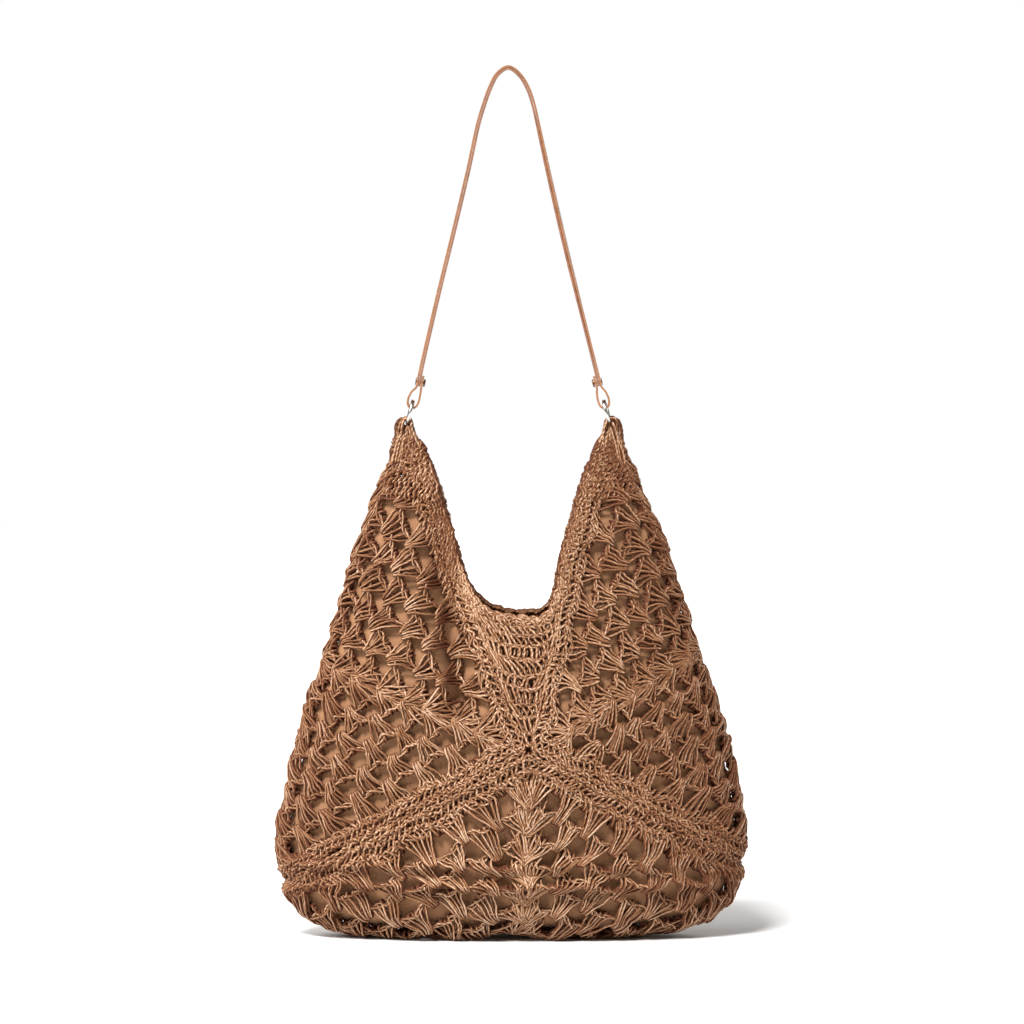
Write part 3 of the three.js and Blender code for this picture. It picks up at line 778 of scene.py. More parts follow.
def lay_on_square(square, drift, halves, paths, quarter, radius=YARN_RADIUS, coarse=1.0):
    """halves has one collection of yarn for each side of the fold."""
    flat = drift.move(turned(smooth_path(paths, steps_for(paths, coarse)), quarter))
    middle = flat[:, flat.shape[1] // 2]
    front = middle[:, 0] + middle[:, 1] >= 0
    for half, chosen in zip(halves, (front, ~front), strict=True):
        if chosen.any():
            half.lay_flat(square.place, flat[chosen], radius)


def lay_open_rounds(square, drift, halves):
    """Rounds of fans. Each fan is hooked round the chain between two fans of the round before."""
    for quarter in range(4):
        for k in range(1, OPEN_ROUNDS + 1):
            foot, head = (k - 1) * ROUND_HEIGHT, k * ROUND_HEIGHT
            feet = np.linspace(-foot, foot, k)
            aims = feet.copy()
            if k > 1:  # the fans of a corner lean towards it
                aims[[0, -1]] *= 1 + 0.10 * ROUND_HEIGHT / foot
            paths = fans(feet, aims, foot + FAN_FOOT, ROUND_HEIGHT, FAN_SPREAD, FAN_STRANDS)
            lay_on_square(square, drift, halves, paths, quarter, coarse=FAN_COARSE)
            paths = fan_backs(feet, aims, foot + FAN_FOOT, ROUND_HEIGHT, FAN_SPREAD, BACK_STRANDS)
            lay_on_square(square, drift, halves, paths, quarter, coarse=FAN_BACK_COARSE)
            corner = fans(np.zeros(1), np.zeros(1), 0.0, math.sqrt(2) * ROUND_HEIGHT, CORNER_SPREAD,
                          CORNER_STRANDS)
            lay_on_square(square, drift, halves, on_diagonal(corner, foot), quarter, coarse=FAN_COARSE)
            for start in -head + np.arange(k) * 2 * ROUND_HEIGHT:
                chain = chain_pair(start, start + 2 * ROUND_HEIGHT, head, CHAIN_RISE, 0.7 * MM)
                lay_on_square(square, drift, halves, chain, quarter, coarse=FAN_COARSE)


def lay_solid_rounds(square, drift, halves):
    """The last rounds: two layers of slanting stitches, and a plait over their heads."""
    for quarter in range(4):
        for k in range(SOLID_ROUNDS):
            foot = OPEN_ROUNDS * ROUND_HEIGHT + k * SOLID_HEIGHT
            head = foot + SOLID_HEIGHT
            slant = (5.0 if k % 2 else -4.2) * MM
            paths = posts(-head, head, foot, SOLID_HEIGHT, FILLER_PITCH, -slant, above=-2.9 * MM)
            lay_on_square(square, drift, halves, paths, quarter, coarse=FILLER_COARSE)
            paths = posts(-head, head, foot, SOLID_HEIGHT, POST_PITCH, slant, above=-0.5 * MM)
            lay_on_square(square, drift, halves, paths, quarter, POST_RADIUS)
            for start in -head + np.arange(8) * head / 4:
                chain = braid(start, start + head / 4, head - 0.8 * MM, PLAIT_PITCH, above=PLAIT_RISE)
                lay_on_square(square, drift, halves, chain, quarter, PLAIT_RADIUS)


# ---- rows that follow two lines


class Band:
    """A patch between two lines of the pattern: sideways runs along them, outward across."""

    def __init__(self, near, far, face):
        self.near, self.far = resample(near, LINE_SHARES), resample(far, LINE_SHARES)
        self.face = face
        middle = (self.near + self.far) / 2
        self.length = np.hypot(*np.diff(middle, axis=0).T).sum()
        self.width = np.hypot(*(self.far - self.near).T).mean()
        self.drift = Drift(0.9 * MM, 0.4 * MM, 0.4 * MM)

    def place(self, flat, lift):
        along, across = flat[..., 0] / self.length, (flat[..., 1] / self.width)[..., None]
        point = point_on(self.near, along) * (1 - across) + point_on(self.far, along) * across
        return skin.place(point[..., 0], point[..., 1], self.face, lift)

    def lay(self, yarn, paths, radius=YARN_RADIUS, lift=0.0):
        flat = self.drift.move(smooth_path(paths, steps_for(paths)))
        flat[..., 2] += lift
        yarn.lay_flat(self.place, flat, radius)


def long_braid(band, yarn, row, pitch=PLAIT_PITCH, radius=PLAIT_RADIUS, lift=PLAIT_RISE,
               swing=BRAID_SWING):
    """A plait along the whole band, in stretches of about 60 mm."""
    pieces = max(round(band.length / (60 * MM)), 1)
    ends = band.length * np.arange(pieces + 1) / pieces
    for start, end in zip(ends[:-1], ends[1:], strict=True):
        band.lay(yarn, braid(start, end, row, pitch, swing), radius, lift)


def lay_seams(yarn, face):
    """The joining rows between the side squares and the bottom square, a little proud of them."""
    for name in ("left", "right"):
        ahead, down = seam_directions(name)
        ends = np.array([CENTRE + ahead * 3 * MM, CORNER[name] - ahead * MM])
        shift = down * SEAM_HALF
        band = Band(ends - shift, ends + shift, face)
        row = (0, band.length, 0.0, band.width)
        band.lay(yarn, posts(*row, FILLER_PITCH, -4.4 * MM), lift=-2.8 * MM)
        band.lay(yarn, posts(*row, POST_PITCH, 5.0 * MM), POST_RADIUS)
        long_braid(band, yarn, 0.1 * band.width, lift=PLAIT_RISE + 0.8 * MM)
        long_braid(band, yarn, 0.9 * band.width, lift=PLAIT_RISE + 0.8 * MM)


PEAK_ROWS = 11
PEAK_START = 15 * MM  # from the foot of the ring down to the first row
PEAK_ROW_STEP = 4 * MM
PEAK_PITCH = 3.6 * MM


def lay_peak(yarn, name, face):
    """Close stitches under a ring, in rows that widen downwards. Every second row leans more."""
    eye = ring_measures(name)[1]
    paths = []
    for row in range(PEAK_ROWS):
        down = PEAK_START + PEAK_ROW_STEP * row
        reach = 0.78 * (6.92 * MM + 0.36 * down)  # to each side, inside the peak's edges
        count = max(round(2 * reach / PEAK_PITCH), 2)
        lean = (-2.9 if row % 2 else -0.9) * MM
        for x in np.linspace(-reach, reach, count) + rng.uniform(-0.9, 0.9, count) * MM:
            points = [(x - lean, down), (x - 0.3 * lean, down + 2.2 * MM), (x + lean, down + 5.8 * MM)]
            flat = np.array([skin.pattern(eye[0] + a, eye[2] - b) for a, b in points])
            paths.append(np.column_stack([flat, np.array([-0.6, 1.3, -0.8]) * MM]))
    paths = np.array(paths)
    drift = Drift(0.6 * MM, 0.4 * MM, 0.5 * MM)
    flat = drift.move(smooth_path(paths, steps_for(paths)))
    flat[..., 2] += 1.0 * MM
    yarn.lay_flat(lambda at, lift: skin.place(at[..., 0], at[..., 1], face, lift), flat, POST_RADIUS)


EDGING_PITCH = 4.4 * MM


def lay_edging(yarn, face):
    """Two solid rows along the mouth, plaits on them and on the rim, and the peaks' stitches."""
    band = Band(mouth_line, edging_line, face)
    w = band.width
    band.lay(yarn, posts(0, band.length, w * 0.55, w * 0.45, EDGING_PITCH, 3.4 * MM), POST_RADIUS)
    band.lay(yarn, posts(0, band.length, w * 0.30, w * 0.30, EDGING_PITCH, -3.2 * MM), lift=-0.8 * MM)
    long_braid(band, yarn, w * 1.0)
    long_braid(band, yarn, w * 0.64, pitch=12 * MM)
    long_braid(band, yarn, w * 0.40, pitch=15 * MM, swing=1.2 * MM, lift=1.0 * MM)
    long_braid(band, yarn, w * 0.22, pitch=19 * MM, swing=1.1 * MM, lift=0.3 * MM)
    long_braid(band, yarn, w * 0.22, pitch=13 * MM, swing=0.8 * MM, lift=-2.2 * MM)
    for name in ("left", "right"):
        lay_peak(yarn, name, face)


# The gusset's rows from the mouth down: height of the row, distance between stitches, how far
# a stitch leans, and how far stitches draw together in twos.
GUSSET_ROWS = (
    (8, 4.6, 4.0, 0.0),
    (9, 4.4, 5.2, 0.0),
    (11, 4.8, 0.5, 1.2),
    (14, 4.4, 7.5, 0.0),
    (10, 4.8, -3.6, 0.8),
    (13, 4.4, 1.0, 0.9),
    (10, 4.4, 4.4, 0.0),
    (12, 4.4, 0.8, 0.0),
    (11, 4.4, 3.4, 0.0),
)
GUSSET_RADIUS = 1.30 * MM


def lay_gusset(yarn, face):
    """Rows of stitches that narrow from the edging to the centre."""
    top = resample(edging_line, np.linspace(*GUSSET_TOP, 60))
    tip = CENTRE + np.array([[-2.5 * MM, 4 * MM], [2.5 * MM, 4 * MM]])
    tip = resample(tip, np.linspace(0, 1, 60))
    heights = np.array([row[0] for row in GUSSET_ROWS])
    ends = running(heights) / heights.sum()
    for k, (_, pitch, slant, paired) in enumerate(GUSSET_ROWS):
        band = Band(top + (tip - top) * ends[k], top + (tip - top) * ends[k + 1], face)
        row = (0, band.length, 0.0, band.width)
        band.lay(yarn, posts(*row, 3.2 * MM, -0.6 * slant * MM), lift=-2.7 * MM)
        band.lay(yarn, posts(*row, pitch * MM, slant * MM, paired=paired * MM), GUSSET_RADIUS)
        long_braid(band, yarn, band.width, radius=GUSSET_RADIUS)


# ---- yarn round the rings


def ring_measures(name):
    """From a CAD ring: its centre, its foot, the directions up and across it, and two radii.

    The foot is the lowest point of the wire's middle line, and the radii are those of that
    line and of the wire.
    """
    points = triangles(f"ring_{name}").reshape(-1, 3)
    low, high = points.min(0), points.max(0)
    centre = (low + high) / 2
    head = points[points[:, 2] > high[2] - 0.5 * MM].mean(0) - centre
    head[1] = 0
    up = unit(head)
    across = np.array([up[2], 0, -up[0]])
    wire = np.abs((points - centre) @ across).max()
    radius = (high[1] - low[1]) / 2 - wire
    return centre, centre - up * radius, up, across, radius, wire


def lay_tab(yarn, name):
    """Strands that rise from the peak, pass through the ring and go down again."""
    _, eye, _, _, radius, _ = ring_measures(name)
    inward = 1 if name == "left" else -1
    heart = eye + np.array([0, 0, -9 * MM])

    def lay(path, thick):
        path[:, 1] = skin.held_to(path, eye[2] - 3 * MM, 7 * MM, 1.0 * MM)
        path = path[None]
        smooth = smooth_path(path, steps_for(path))
        away = smooth - heart
        away[..., 0] *= 0.3
        away[..., 1] = np.where(away[..., 1] < 0, -1, 1) * np.maximum(np.abs(away[..., 1]), 3 * MM)
        away[..., 2] = np.maximum(away[..., 2], 0) * 0.4
        yarn.lay(smooth, thick, unit(away), np.zeros(smooth.shape[:2]))

    side = np.array([inward, 1, 1]) * MM
    for nest, depth in enumerate((-3.6, 2.6, -1.4, 3.8, 0.4, 1.5)):
        rise = radius - math.sqrt(radius ** 2 - (depth * MM) ** 2)
        hub = eye + np.array([0, depth * MM, rise])
        outer = [(-12.4 - 0.2 * nest, -34), (-9.8 - 0.3 * nest, -24), (-7.2 - 0.6 * nest, -15),
                 (-4.8 - 0.9 * nest, -8), (-3.2 - 1.2 * nest, -3)]
        over = [(-2.5 - 0.9 * nest, 0.9 + 0.3 * nest), (-0.4 - 0.4 * nest, 2.9 + 0.1 * nest), (2.1, 2.2)]
        inner = [(3.2, -0.6), (3.6, -4.5), (5.2, -9), (9.0 + 0.5 * nest, -18), (13.0 + 0.5 * nest, -30)]
        path = np.array([(x, 0, z) for x, z in outer + over + inner]) * side
        path[:5, 1] = path[-5:, 1] = depth * MM * abs(depth) / 7
        lay(hub + path + wobble(path.shape, 0.45 * MM), 1.3 * MM)
    for strand in range(14):  # the strands between the two sides of the loop
        face = 1 if strand % 2 else -1
        lean = -6.0 + 2.0 * (strand // 2)
        path = [(lean * 0.3, 2.4, -1.9), (lean * 0.7, 4.2, -9), (lean * 1.1, 4.4, -17),
                (lean * 1.6, 5.0, -32)]
        path = np.array(path) * (1, face, 1) * side
        lay(eye + path + wobble(path.shape, 0.7 * MM), 1.25 * MM)
    for turn_number in range(4):  # windings inside them, which bind the loop
        low = eye + np.array([-1.4 - 0.3 * turn_number, 0, -5.0 - 2.6 * turn_number]) * side
        around = np.linspace(0, 2 * math.pi * 1.05, 22)
        wide = (3.2 + 0.8 * turn_number) * MM
        tilt = 1.6 * MM * np.sin(around + 1.7 * turn_number)
        path = low + np.stack([wide * np.cos(around), 2.6 * MM * np.sin(around), tilt], -1)
        lay(path, 1.2 * MM)


# ---- materials


class Nodes:
    """A material's node tree, with one short call for each node."""

    def __init__(self, name):
        self.material = bpy.data.materials.new(name)
        self.material.use_nodes = True
        self.tree = self.material.node_tree
        self.shader = self.tree.nodes["Principled BSDF"]

    def add(self, kind, inputs=(), **settings):
        node = self.tree.nodes.new(kind)
        for key, value in settings.items():
            setattr(node, key, value)
        for key, value in dict(inputs).items():
            self.set(node, key, value)
        return node

    def set(self, node, key, value):
        if isinstance(value, bpy.types.NodeSocket):
            self.tree.links.new(value, node.inputs[key])
        else:
            node.inputs[key].default_value = value

    def finish(self, values):
        for key, value in values.items():
            self.set(self.shader, key, value)
        return self.material

    def maths(self, operation, *values, clamp=False):
        node = self.add("ShaderNodeMath", operation=operation, use_clamp=clamp)
        for i, value in enumerate(values):
            self.set(node, i, value)
        return node.outputs[0]

    def scaled(self, value, factor, plus=0.0, clamp=False):
        return self.maths("MULTIPLY_ADD", value, factor, plus, clamp=clamp)

    def total(self, *terms):
        """The sum of some values, each times its weight."""
        found = 0.0
        for value, weight in terms:
            found = self.scaled(value, weight, found)
        return found

    def wave(self, turn):
        """A wave between 0 and 1."""
        return self.scaled(self.maths("SINE", turn), 0.5, 0.5)

    def painted(self, label):
        return self.add("ShaderNodeAttribute", attribute_name=label).outputs["Fac"]

    def uv(self, label):
        uv = self.add("ShaderNodeUVMap", uv_map=label).outputs["UV"]
        parts = self.add("ShaderNodeSeparateXYZ", {"Vector": uv})
        return parts.outputs["X"], parts.outputs["Y"]

    def place(self):
        return self.add("ShaderNodeTexCoord").outputs["Object"]

    def noise(self, scale, detail=4.0, roughness=0.6):
        inputs = {"Scale": scale, "Detail": detail, "Roughness": roughness, "Vector": self.place()}
        return self.add("ShaderNodeTexNoise", inputs).outputs["Fac"]

    def ramp(self, factor, low, dark, high, light):
        node = self.add("ShaderNodeValToRGB", {"Fac": factor})
        stops = ((low, dark), (high, light))
        for element, (place, colour) in zip(node.color_ramp.elements, stops, strict=True):
            element.position = place
            element.color = (*colour, 1)
        return node.outputs["Color"]

    def mix(self, factor, a, b):
        node = self.add("ShaderNodeMix", data_type="RGBA")
        self.set(node, 0, factor)
        for socket, colour in ((6, a), (7, b)):
            self.set(node, socket, colour if isinstance(colour, bpy.types.NodeSocket) else (*colour, 1))
        return node.outputs[2]

    def bump(self, height, strength, distance):
        node = self.add("ShaderNodeBump", {"Height": height, "Strength": strength, "Distance": distance})
        return node.outputs["Normal"]


def toned(colour, share):
    return tuple(share * c for c in colour)


def yarn_material(name, light, dark):
    """Yarn of two plies with fine fibres. Painted shade darkens its ply grooves, flanks and depth; a
    painted highlight lightens its crests.
    """
    n = Nodes(name)
    along, around = n.uv("along_yarn")
    ply = n.wave(n.total((along, 4 * math.pi / 0.9), (around, -4 * math.pi)))
    fibre = n.wave(n.total((along, 4.4 * math.pi), (around, -14 * math.pi)))
    speckle = n.noise(900, 5, 0.7)
    patch = n.noise(28, 3, 0.5)
    shade = n.total((n.painted("tone"), 0.42), (patch, 0.30), (speckle, 0.28))
    colour = n.ramp(shade, 0.18, dark, 0.78, light)
    # Painted shade: the grooves between the two plies are darkened.
    groove_shade = n.maths("POWER", n.maths("SUBTRACT", 1.0, ply), 3.0)
    colour = n.mix(n.scaled(groove_shade, 0.55), colour, toned(dark, 0.45))
    # Painted shade: the flanks of each strand and the points that lie deep under the skin are darkened.
    relief = n.painted("relief")
    ridge = n.maths("ABSOLUTE", relief)
    flank_shade = n.scaled(ridge, -2.0, 1.9, clamp=True)
    outside = n.scaled(relief, 2.0, 1.2, clamp=True)
    low = n.maths("ADD", n.painted("depth"), 0.8 * MM)
    low = n.maths("MULTIPLY", low, -1 / (3.4 * MM), clamp=True)
    low = n.maths("MULTIPLY", n.scaled(low, 0.94), outside)
    painted_shade = n.maths("MAXIMUM", n.scaled(flank_shade, 0.88), low)
    # Painted highlight: the crest of each strand is lightened towards a pale colour.
    painted_highlight = n.scaled(ridge, 1 / 0.16, -0.82 / 0.16, clamp=True)
    colour = n.mix(n.scaled(painted_highlight, 0.62), colour, PAINTED_HIGHLIGHT_COLOUR)
    # The painted shade goes towards a deep dark brown, and the roughness rises with it.
    colour = n.mix(painted_shade, colour, (0.20 * dark[0], 0.045 * dark[1], 0))
    rough = n.scaled(painted_shade, 0.45, n.scaled(speckle, 0.25, 0.28), clamp=True)
    height = n.total((ply, 0.7), (fibre, 0.2), (speckle, 0.25))
    return n.finish({"Base Color": colour, "Roughness": rough, "Specular IOR Level": 0.42,
                     "Specular Tint": (1.0, 0.86, 0.72, 1), "Normal": n.bump(height, 0.75, 0.0006)})


def cloth_material(name, light, dark):
    """Plain woven cotton: fine threads both ways, with soft patches of tone."""
    n = Nodes(name)
    threads = 2 * math.pi / (0.8 * MM)
    warp, weft = (n.maths("SINE", n.scaled(way, threads)) for way in n.uv("cloth"))
    weave = n.scaled(n.maths("MULTIPLY", warp, weft), 0.5, 0.5)
    slub = n.noise(380, 4, 0.7)
    patch = n.noise(20, 3, 0.5)
    shade = n.total((patch, 0.45), (slub, 0.35), (weave, 0.2))
    height = n.total((weave, 0.6), (slub, 0.6))
    return n.finish({"Base Color": n.ramp(shade, 0.25, dark, 0.75, light),
                     "Roughness": n.scaled(slub, 0.2, 0.75), "Sheen Weight": 0.06,
                     "Sheen Roughness": 0.5, "Normal": n.bump(height, 0.5, 0.0003)})


def leather_material(name, face, edge):
    """Smooth strap leather with fine pores. Its cut edges have a colour of their own."""
    n = Nodes(name)
    pores = n.add("ShaderNodeTexVoronoi", {"Vector": n.place(), "Scale": 1400.0}, feature="F1")
    grain = n.noise(500, 6, 0.65)
    streak = n.noise(60, 4, 0.6)
    face_shade = n.total((grain, 0.4), (streak, 0.6))
    face_colour = n.ramp(face_shade, 0.3, toned(face, 0.72), 0.7, toned(face, 1.15))
    edge_colour = n.ramp(n.noise(220, 5, 0.7), 0.35, toned(edge, 0.8), 0.7, toned(edge, 1.2))
    height = n.total((pores.outputs["Distance"], 0.5), (grain, 0.5))
    return n.finish({"Base Color": n.mix(n.painted("cut_edge"), face_colour, edge_colour),
                     "Roughness": n.scaled(grain, 0.22, 0.32), "Coat Weight": 0.15,
                     "Coat Roughness": 0.3, "Normal": n.bump(height, 0.35, 0.00025)})


def metal_material(name, colour, roughness, tarnish, colour_again):
    """Polished metal with faint scratches, and tarnish that gathers in patches."""
    n = Nodes(name)
    patch = n.noise(260, 5, 0.65)
    wipe = n.noise(1500, 3, 0.6)
    spots = n.maths("SUBTRACT", patch, 0.5, clamp=True)
    spots = n.maths("MULTIPLY", spots, 4.0 * tarnish, clamp=True)
    return n.finish({"Base Color": n.mix(spots, colour, colour_again),
                     "Roughness": n.scaled(wipe, 0.18, roughness), "Metallic": 1.0,
                     "Normal": n.bump(wipe, 0.12, 0.0001)})


YARN_LIGHT = (0.53, 0.275, 0.135)
YARN_DARK = (0.30, 0.122, 0.040)
# The colour of the highlight painted on the yarn's crests.
PAINTED_HIGHLIGHT_COLOUR = (0.74, 0.53, 0.38)
yarn_look = yarn_material("crochet_yarn", YARN_LIGHT, YARN_DARK)
rows_look = yarn_material("crochet_rows_yarn", toned(YARN_LIGHT, 0.97), YARN_DARK)
cloth_look = cloth_material("lining_cotton", (0.47, 0.235, 0.115), (0.35, 0.160, 0.070))
leather_look = leather_material("strap_leather", (0.30, 0.115, 0.045), (0.34, 0.145, 0.062))
backing_look = leather_material("strap_backing_leather", (0.27, 0.11, 0.055), (0.29, 0.125, 0.068))
nickel_look = metal_material("ring_nickel", (0.72, 0.70, 0.67), 0.12, 0.4, (0.42, 0.38, 0.34))
brass_look = metal_material("rivet_brass", (0.20, 0.10, 0.055), 0.30, 0.8, (0.09, 0.045, 0.025))

# ---- pieces


def face_outward(mesh):
    """Welds a closed mesh where its points meet, and turns its faces outward."""
    shell = bmesh.new()
    shell.from_mesh(mesh)
    bmesh.ops.remove_doubles(shell, verts=shell.verts, dist=1e-6)
    bmesh.ops.recalc_face_normals(shell, faces=shell.faces)
    shell.to_mesh(mesh)
    shell.free()


def piece(name, mesh, material, body, nodes, slot):
    made = new_object(name, mesh)
    made.data.materials.append(material)
    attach(made, body)
    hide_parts(*nodes)
    return made


def make_squares():
    squares = {"left_square": side_square("left"), "right_square": side_square("right"),
               "bottom_square": bottom_square()}
    for name, square in squares.items():
        drift = Drift(1.5 * MM, 0.35 * MM, 0.9 * MM)
        for lay, part in ((lay_open_rounds, "fans"), (lay_solid_rounds, "rows")):
            halves = [Yarn(), Yarn()]
            lay(square, drift, halves)
            for yarn, half in zip(halves, ("front", "back"), strict=True):
                label = f"{name}_{part}_{half}"
                piece(label, yarn.mesh(label), yarn_look, "bag", [name], "yarn_squares")


def yarn_piece(name, look, nodes, slot, lay, *details):
    """The strands that one of the functions above lays, as one piece of the bag."""
    yarn = Yarn()
    lay(yarn, *details)
    piece(name, yarn.mesh(name), look, "bag", nodes, slot)


def make_rows():
    for face, half in ((1, "front"), (-1, "back")):
        seams = [f"seam_{half}_left", f"seam_{half}_right"]
        edging = [f"mouth_edging_{half}"]
        yarn_piece(f"gusset_rows_{half}", yarn_look, [f"{half}_gusset"], "yarn_gussets", lay_gusset, face)
        yarn_piece(f"seam_rows_{half}", rows_look, seams, "yarn_solid_rows", lay_seams, face)
        yarn_piece(f"mouth_rows_{half}", rows_look, edging, "yarn_solid_rows", lay_edging, face)
    for name in ("left", "right"):
        tab = [f"ring_tab_{name}"]
        yarn_piece(f"ring_tab_yarn_{name}", rows_look, tab, "yarn_solid_rows", lay_tab, name)


# ---- lining

CLOTH_THICK = 0.5 * MM
LINING_RISE = 7 * MM  # the lining's cuts are like those of the bag this far below
LINING_ROOM = 9 * MM  # less at each side
LINING_SHARE = 0.998  # of its half width, so that its two panels don't touch at the sides
NEARER = -0.5 * MM  # to the yarn than the CAD panels: below 0, further from it


def lining_outline():
    """For each height, how wide and deep the lining is, from its CAD panels."""
    tris = triangles("lining_front")
    low, high = tris[..., 2].min(), tris[..., 2].max()
    return np.array([level_cut(tris, z) for z in np.linspace(low + MM, high - MM, 60)])


def lining_cut(outline, z):
    """The middle, half width and half depth of the lining at a height."""
    left, right, deep = lookup(z, outline[:, 0], *outline[:, 1:].T)
    return (left + right) / 2, (right - left) / 2, deep


def lining_top(outline):
    """The height of the lining's edge at shares of its half width."""
    points = triangles("lining_front").reshape(-1, 3)
    middle, half, _ = lining_cut(outline, points[:, 2])
    share = (points[:, 0] - middle) / half
    shares = np.linspace(-0.96, 0.96, 25)
    tops = [points[np.abs(share - s) < 0.06][:, 2].max() for s in shares]
    return shares, np.array(tops)


def cloth_mesh(name, grid, closed=False):
    """A mesh over a grid of points (row, column, xyz), with a UV map in metres."""
    rows, columns = grid.shape[:2]
    i, j = np.mgrid[:rows - 1, :columns if closed else columns - 1]
    k = (j + 1) % columns
    faces = np.stack([i * columns + j, i * columns + k, (i + 1) * columns + k, (i + 1) * columns + j], -1)
    mesh = bpy.data.meshes.new(name)
    mesh.from_pydata(grid.reshape(-1, 3).tolist(), [], faces.reshape(-1, 4).tolist())
    ring = np.linalg.norm(np.diff(grid, axis=1), axis=2).mean(0)
    across = running(np.append(ring, ring.mean()))
    up = running(np.linalg.norm(np.diff(grid, axis=0), axis=2).mean(1))
    here, there, low, high = across[j], across[j + 1], up[i], up[i + 1]
    uv = np.stack([here, low, there, low, there, high, here, high], -1)
    layer = mesh.uv_layers.new(name="cloth")
    layer.uv.foreach_set("vector", uv.reshape(-1).astype(np.float32))
    mesh.shade_smooth()
    return mesh


def wrinkles(x, z, face):
    """Soft folds of slack cloth: how far it lies from its smooth shape."""
    folds = 0.8 * np.sin(x * 62 + 9 * np.sin(z * 17) + face) * np.sin(z * 23 + 1.3 * face)
    folds += 0.5 * np.sin(z * 74 + 6 * np.sin(x * 21 + face))
    folds += 0.2 * np.sin(x * 150 + z * 90 + 2 * face)
    return folds * MM


def make_lining():
    outline = lining_outline()
    shares, tops = lining_top(outline)
    low = outline[0, 0]
    for face, half in ((1, "front"), (-1, "back")):
        share = np.sin(np.linspace(-math.pi / 2, math.pi / 2, 90)) * LINING_SHARE
        top = np.interp(share, shares, tops)
        rise = np.linspace(0, 1, 80)[:, None]
        z = low + (top - low)[None] * rise
        middle, wide, deep = lining_cut(outline, z)
        below = np.maximum(z - LINING_RISE, 0)
        wide = np.maximum(wide, np.interp(below, skin.height, skin.half) - LINING_ROOM)
        front = np.sqrt(1 - share ** 2)[None]
        x = middle + share[None] * wide
        slack = np.minimum(front * 3, 1)
        y = -face * (front * (deep + NEARER) - slack * np.abs(wrinkles(x, z, face)))
        grid = settle(np.stack([x, y, z], -1))
        label = f"lining_panel_{half}"
        mesh = cloth_mesh(label, grid if face > 0 else grid[:, ::-1])
        made = piece(label, mesh, cloth_look, "bag", [f"lining_{half}"], "lining_cloth")
        thicken = made.modifiers.new("cloth", "SOLIDIFY")
        thicken.thickness = CLOTH_THICK
        thicken.offset = -1
    make_hem(outline, shares, tops)


HEM_HEIGHT = 10 * MM
HEM_INSET = 2.4 * MM  # from the panels to the middle of the turned edge
HEM_HALF_THICK = 0.9 * MM
HEM_SHARE = 0.985  # of the lining's half width, so that the edge stays inside it
# Round the turned edge: shares of its half thickness and of its height.
HEM_SECTION = ((0.5, 0.0), (0.9, 0.3), (0.7, 0.9), (0.0, 1.0),
               (-0.7, 0.9), (-0.9, 0.3), (-0.5, 0.0), (0.5, 0.0))


def make_hem(outline, shares, tops):
    """The lining's turned edge: a flattened tube of cloth that follows its top, just inside it."""
    turn = np.linspace(0, 2 * math.pi, 240, endpoint=False)
    share = np.sin(turn) * HEM_SHARE
    face = np.where(np.cos(turn) >= 0, 1.0, -1.0)
    top = np.interp(share, shares, tops)
    middle, wide, _ = lining_cut(outline, top)
    line = np.stack([middle + share * wide, top], -1)
    ahead = np.roll(line, -3, axis=0) - np.roll(line, 3, axis=0)
    down = np.stack([ahead[:, 1], -ahead[:, 0]], -1)
    down *= np.where(down[:, 1] > 0, -1, 1)[:, None]
    down += np.array([0, -1]) * (0.004 + 0.08 * np.abs(share)[:, None] ** 12)
    down = unit(down)
    rings = []
    for thick, rise in HEM_SECTION:
        x, z = (line + down * HEM_HEIGHT * (1 - rise)).T
        inset = HEM_INSET + thick * HEM_HALF_THICK
        middle, wide, deep = lining_cut(outline, z)
        ripple = wrinkles(x, z, 1) * 0.4
        out = np.clip((x - middle) / wide, -HEM_SHARE, HEM_SHARE)
        y = -face * np.sqrt(1 - out ** 2) * (deep - inset + ripple)
        rings.append(np.stack([middle + out * (wide - inset), y, z], -1))
    grid = settle(np.array(rings))
    mesh = cloth_mesh("lining_turned_edge", grid, closed=True)
    face_outward(mesh)
    made = piece("lining_turned_edge", mesh, cloth_look, "bag", ["lining_hem"], "lining_cloth")


# ---- strap, rings and rivets

TWIST_OF_RIGHT_LEG = 0.09  # sideways for each unit of depth, so its flat side shows a little
TWIST_FADE = 0.02  # the twist is whole from this x on
TWIST_START = 0.12  # where on the leg it begins, and how much of the leg it takes in
TWIST_SPAN = 0.8


def refined(node, bevel, keep_angle=40):
    """A copy of a CAD node's mesh with welded corners and rounded sharp edges."""
    shell = bmesh.new()
    shell.from_mesh(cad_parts[node].data)
    bmesh.ops.remove_doubles(shell, verts=shell.verts, dist=2e-6)
    bmesh.ops.dissolve_limit(shell, angle_limit=math.radians(0.4), verts=shell.verts, edges=shell.edges)
    shell.normal_update()
    edges = [e for e in shell.edges if len(e.link_faces) == 2]
    sharp = [e for e in edges if e.calc_face_angle() > math.radians(keep_angle)]
    bmesh.ops.bevel(shell, geom=sharp, offset=bevel, segments=3, profile=0.5, affect="EDGES",
                    clamp_overlap=True)
    mesh = bpy.data.meshes.new(node + "_shape")
    shell.to_mesh(mesh)
    shell.free()
    return mesh


def smooth_by_angle(mesh, degrees):
    """Smooth shading, with creases where the faces meet at more than an angle."""
    mesh.shade_smooth()
    mesh.set_sharp_from_angle(angle=math.radians(degrees))


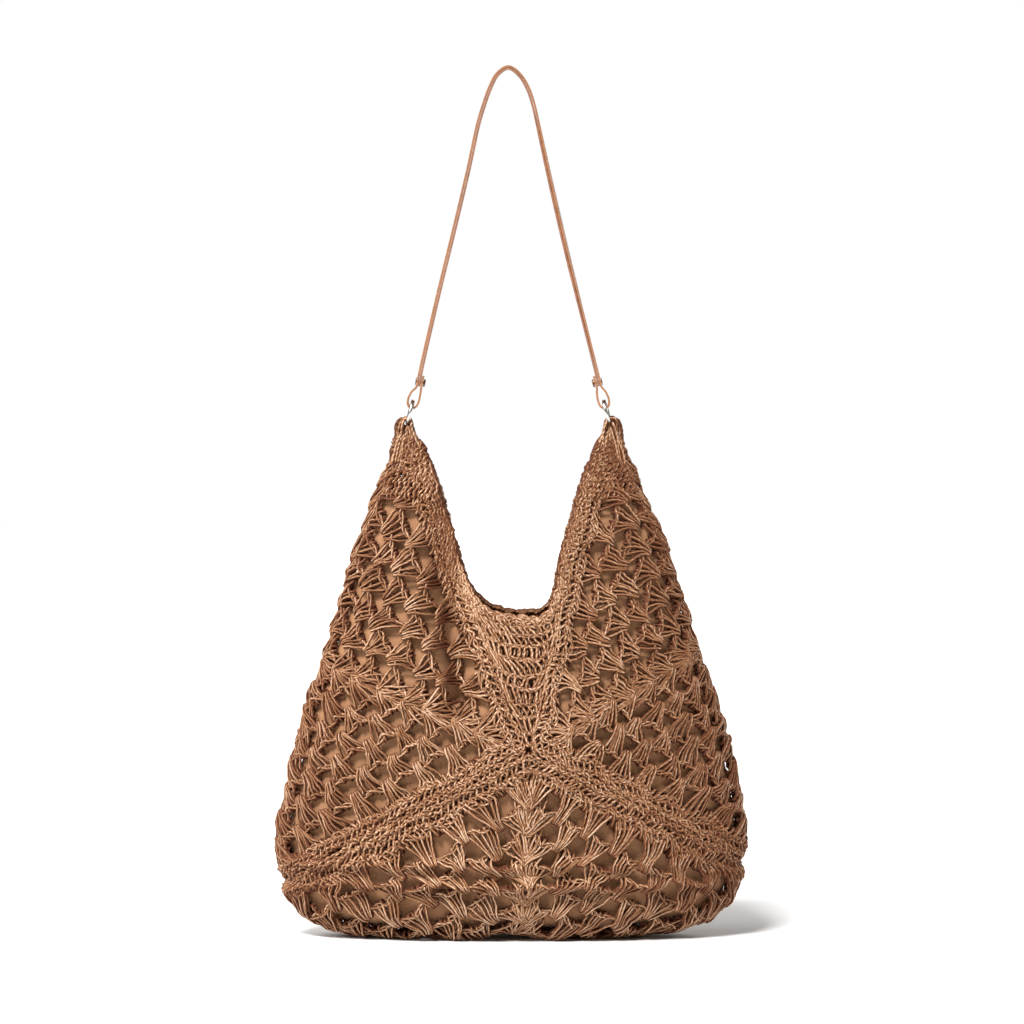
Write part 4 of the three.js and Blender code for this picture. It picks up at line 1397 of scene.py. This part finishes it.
def make_strap():
    for node, look, slot in (("strap_outer", leather_look, "strap_leather"),
                             ("strap_backing", backing_look, "strap_backing_leather")):
        mesh = refined(node, 0.35 * MM)
        edge = mesh.attributes.new("cut_edge", "FLOAT", "FACE")
        edge.data.foreach_set("value", [min(abs(p.normal.y) * 1.3, 1.0) for p in mesh.polygons])
        low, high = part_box("strap_outer")
        place = points_of(mesh)
        rise = (place[:, 2] - low.z) / (high.z - low.z)
        along = np.clip((rise - TWIST_START) / TWIST_SPAN, 0, 1)
        leg = np.clip(place[:, 0] / TWIST_FADE, 0, 1) * np.sin(along * math.pi)
        place[:, 0] += TWIST_OF_RIGHT_LEG * leg * place[:, 1]
        mesh.vertices.foreach_set("co", place.reshape(-1))
        smooth_by_angle(mesh, 35)
        piece(node + "_leather", mesh, look, "strap", [node], slot)


def torus_mesh(label, name, yaw):
    """A ring of round wire, turned a little about its own upright."""
    centre, _, up, across, radius, wire = ring_measures(name)
    depth = np.cross(across, up)
    facing = across * math.cos(yaw) + depth * math.sin(yaw)
    depth = depth * math.cos(yaw) - across * math.sin(yaw)
    major, minor = 128, 24
    a = np.linspace(0, 2 * math.pi, major, endpoint=False)[:, None]
    b = np.linspace(0, 2 * math.pi, minor, endpoint=False)[None]
    out = np.cos(a)[..., None] * up + np.sin(a)[..., None] * depth
    points = centre + out * (radius + wire * np.cos(b))[..., None] + facing * (wire * np.sin(b))[..., None]
    index = np.arange(major * minor).reshape(major, minor)
    beside, above = np.roll(index, -1, axis=1), np.roll(index, -1, axis=0)
    across_both = np.roll(above, -1, axis=1)
    faces = np.stack([index, above, across_both, beside], -1).reshape(-1, 4)
    mesh = bpy.data.meshes.new(label)
    mesh.from_pydata(points.reshape(-1, 3).tolist(), [], faces.tolist())
    mesh.shade_smooth()
    face_outward(mesh)
    return mesh


def make_hardware():
    for name, yaw in (("left", math.radians(-2)), ("right", math.radians(5))):
        label = f"ring_wire_{name}"
        mesh = torus_mesh(label, name, yaw)
        piece(label, mesh, nickel_look, f"ring_{name}", [f"ring_{name}"], "ring_nickel")
        for part in ("post", "cap"):
            node = f"rivet_{part}_{name}"
            mesh = refined(node, 0.22 * MM, 50)
            smooth_by_angle(mesh, 40)
            piece(f"rivet_{part}_metal_{name}", mesh, brass_look, "strap", [node], "rivet_brass")


make_squares()
make_rows()
make_lining()
make_strap()
make_hardware()
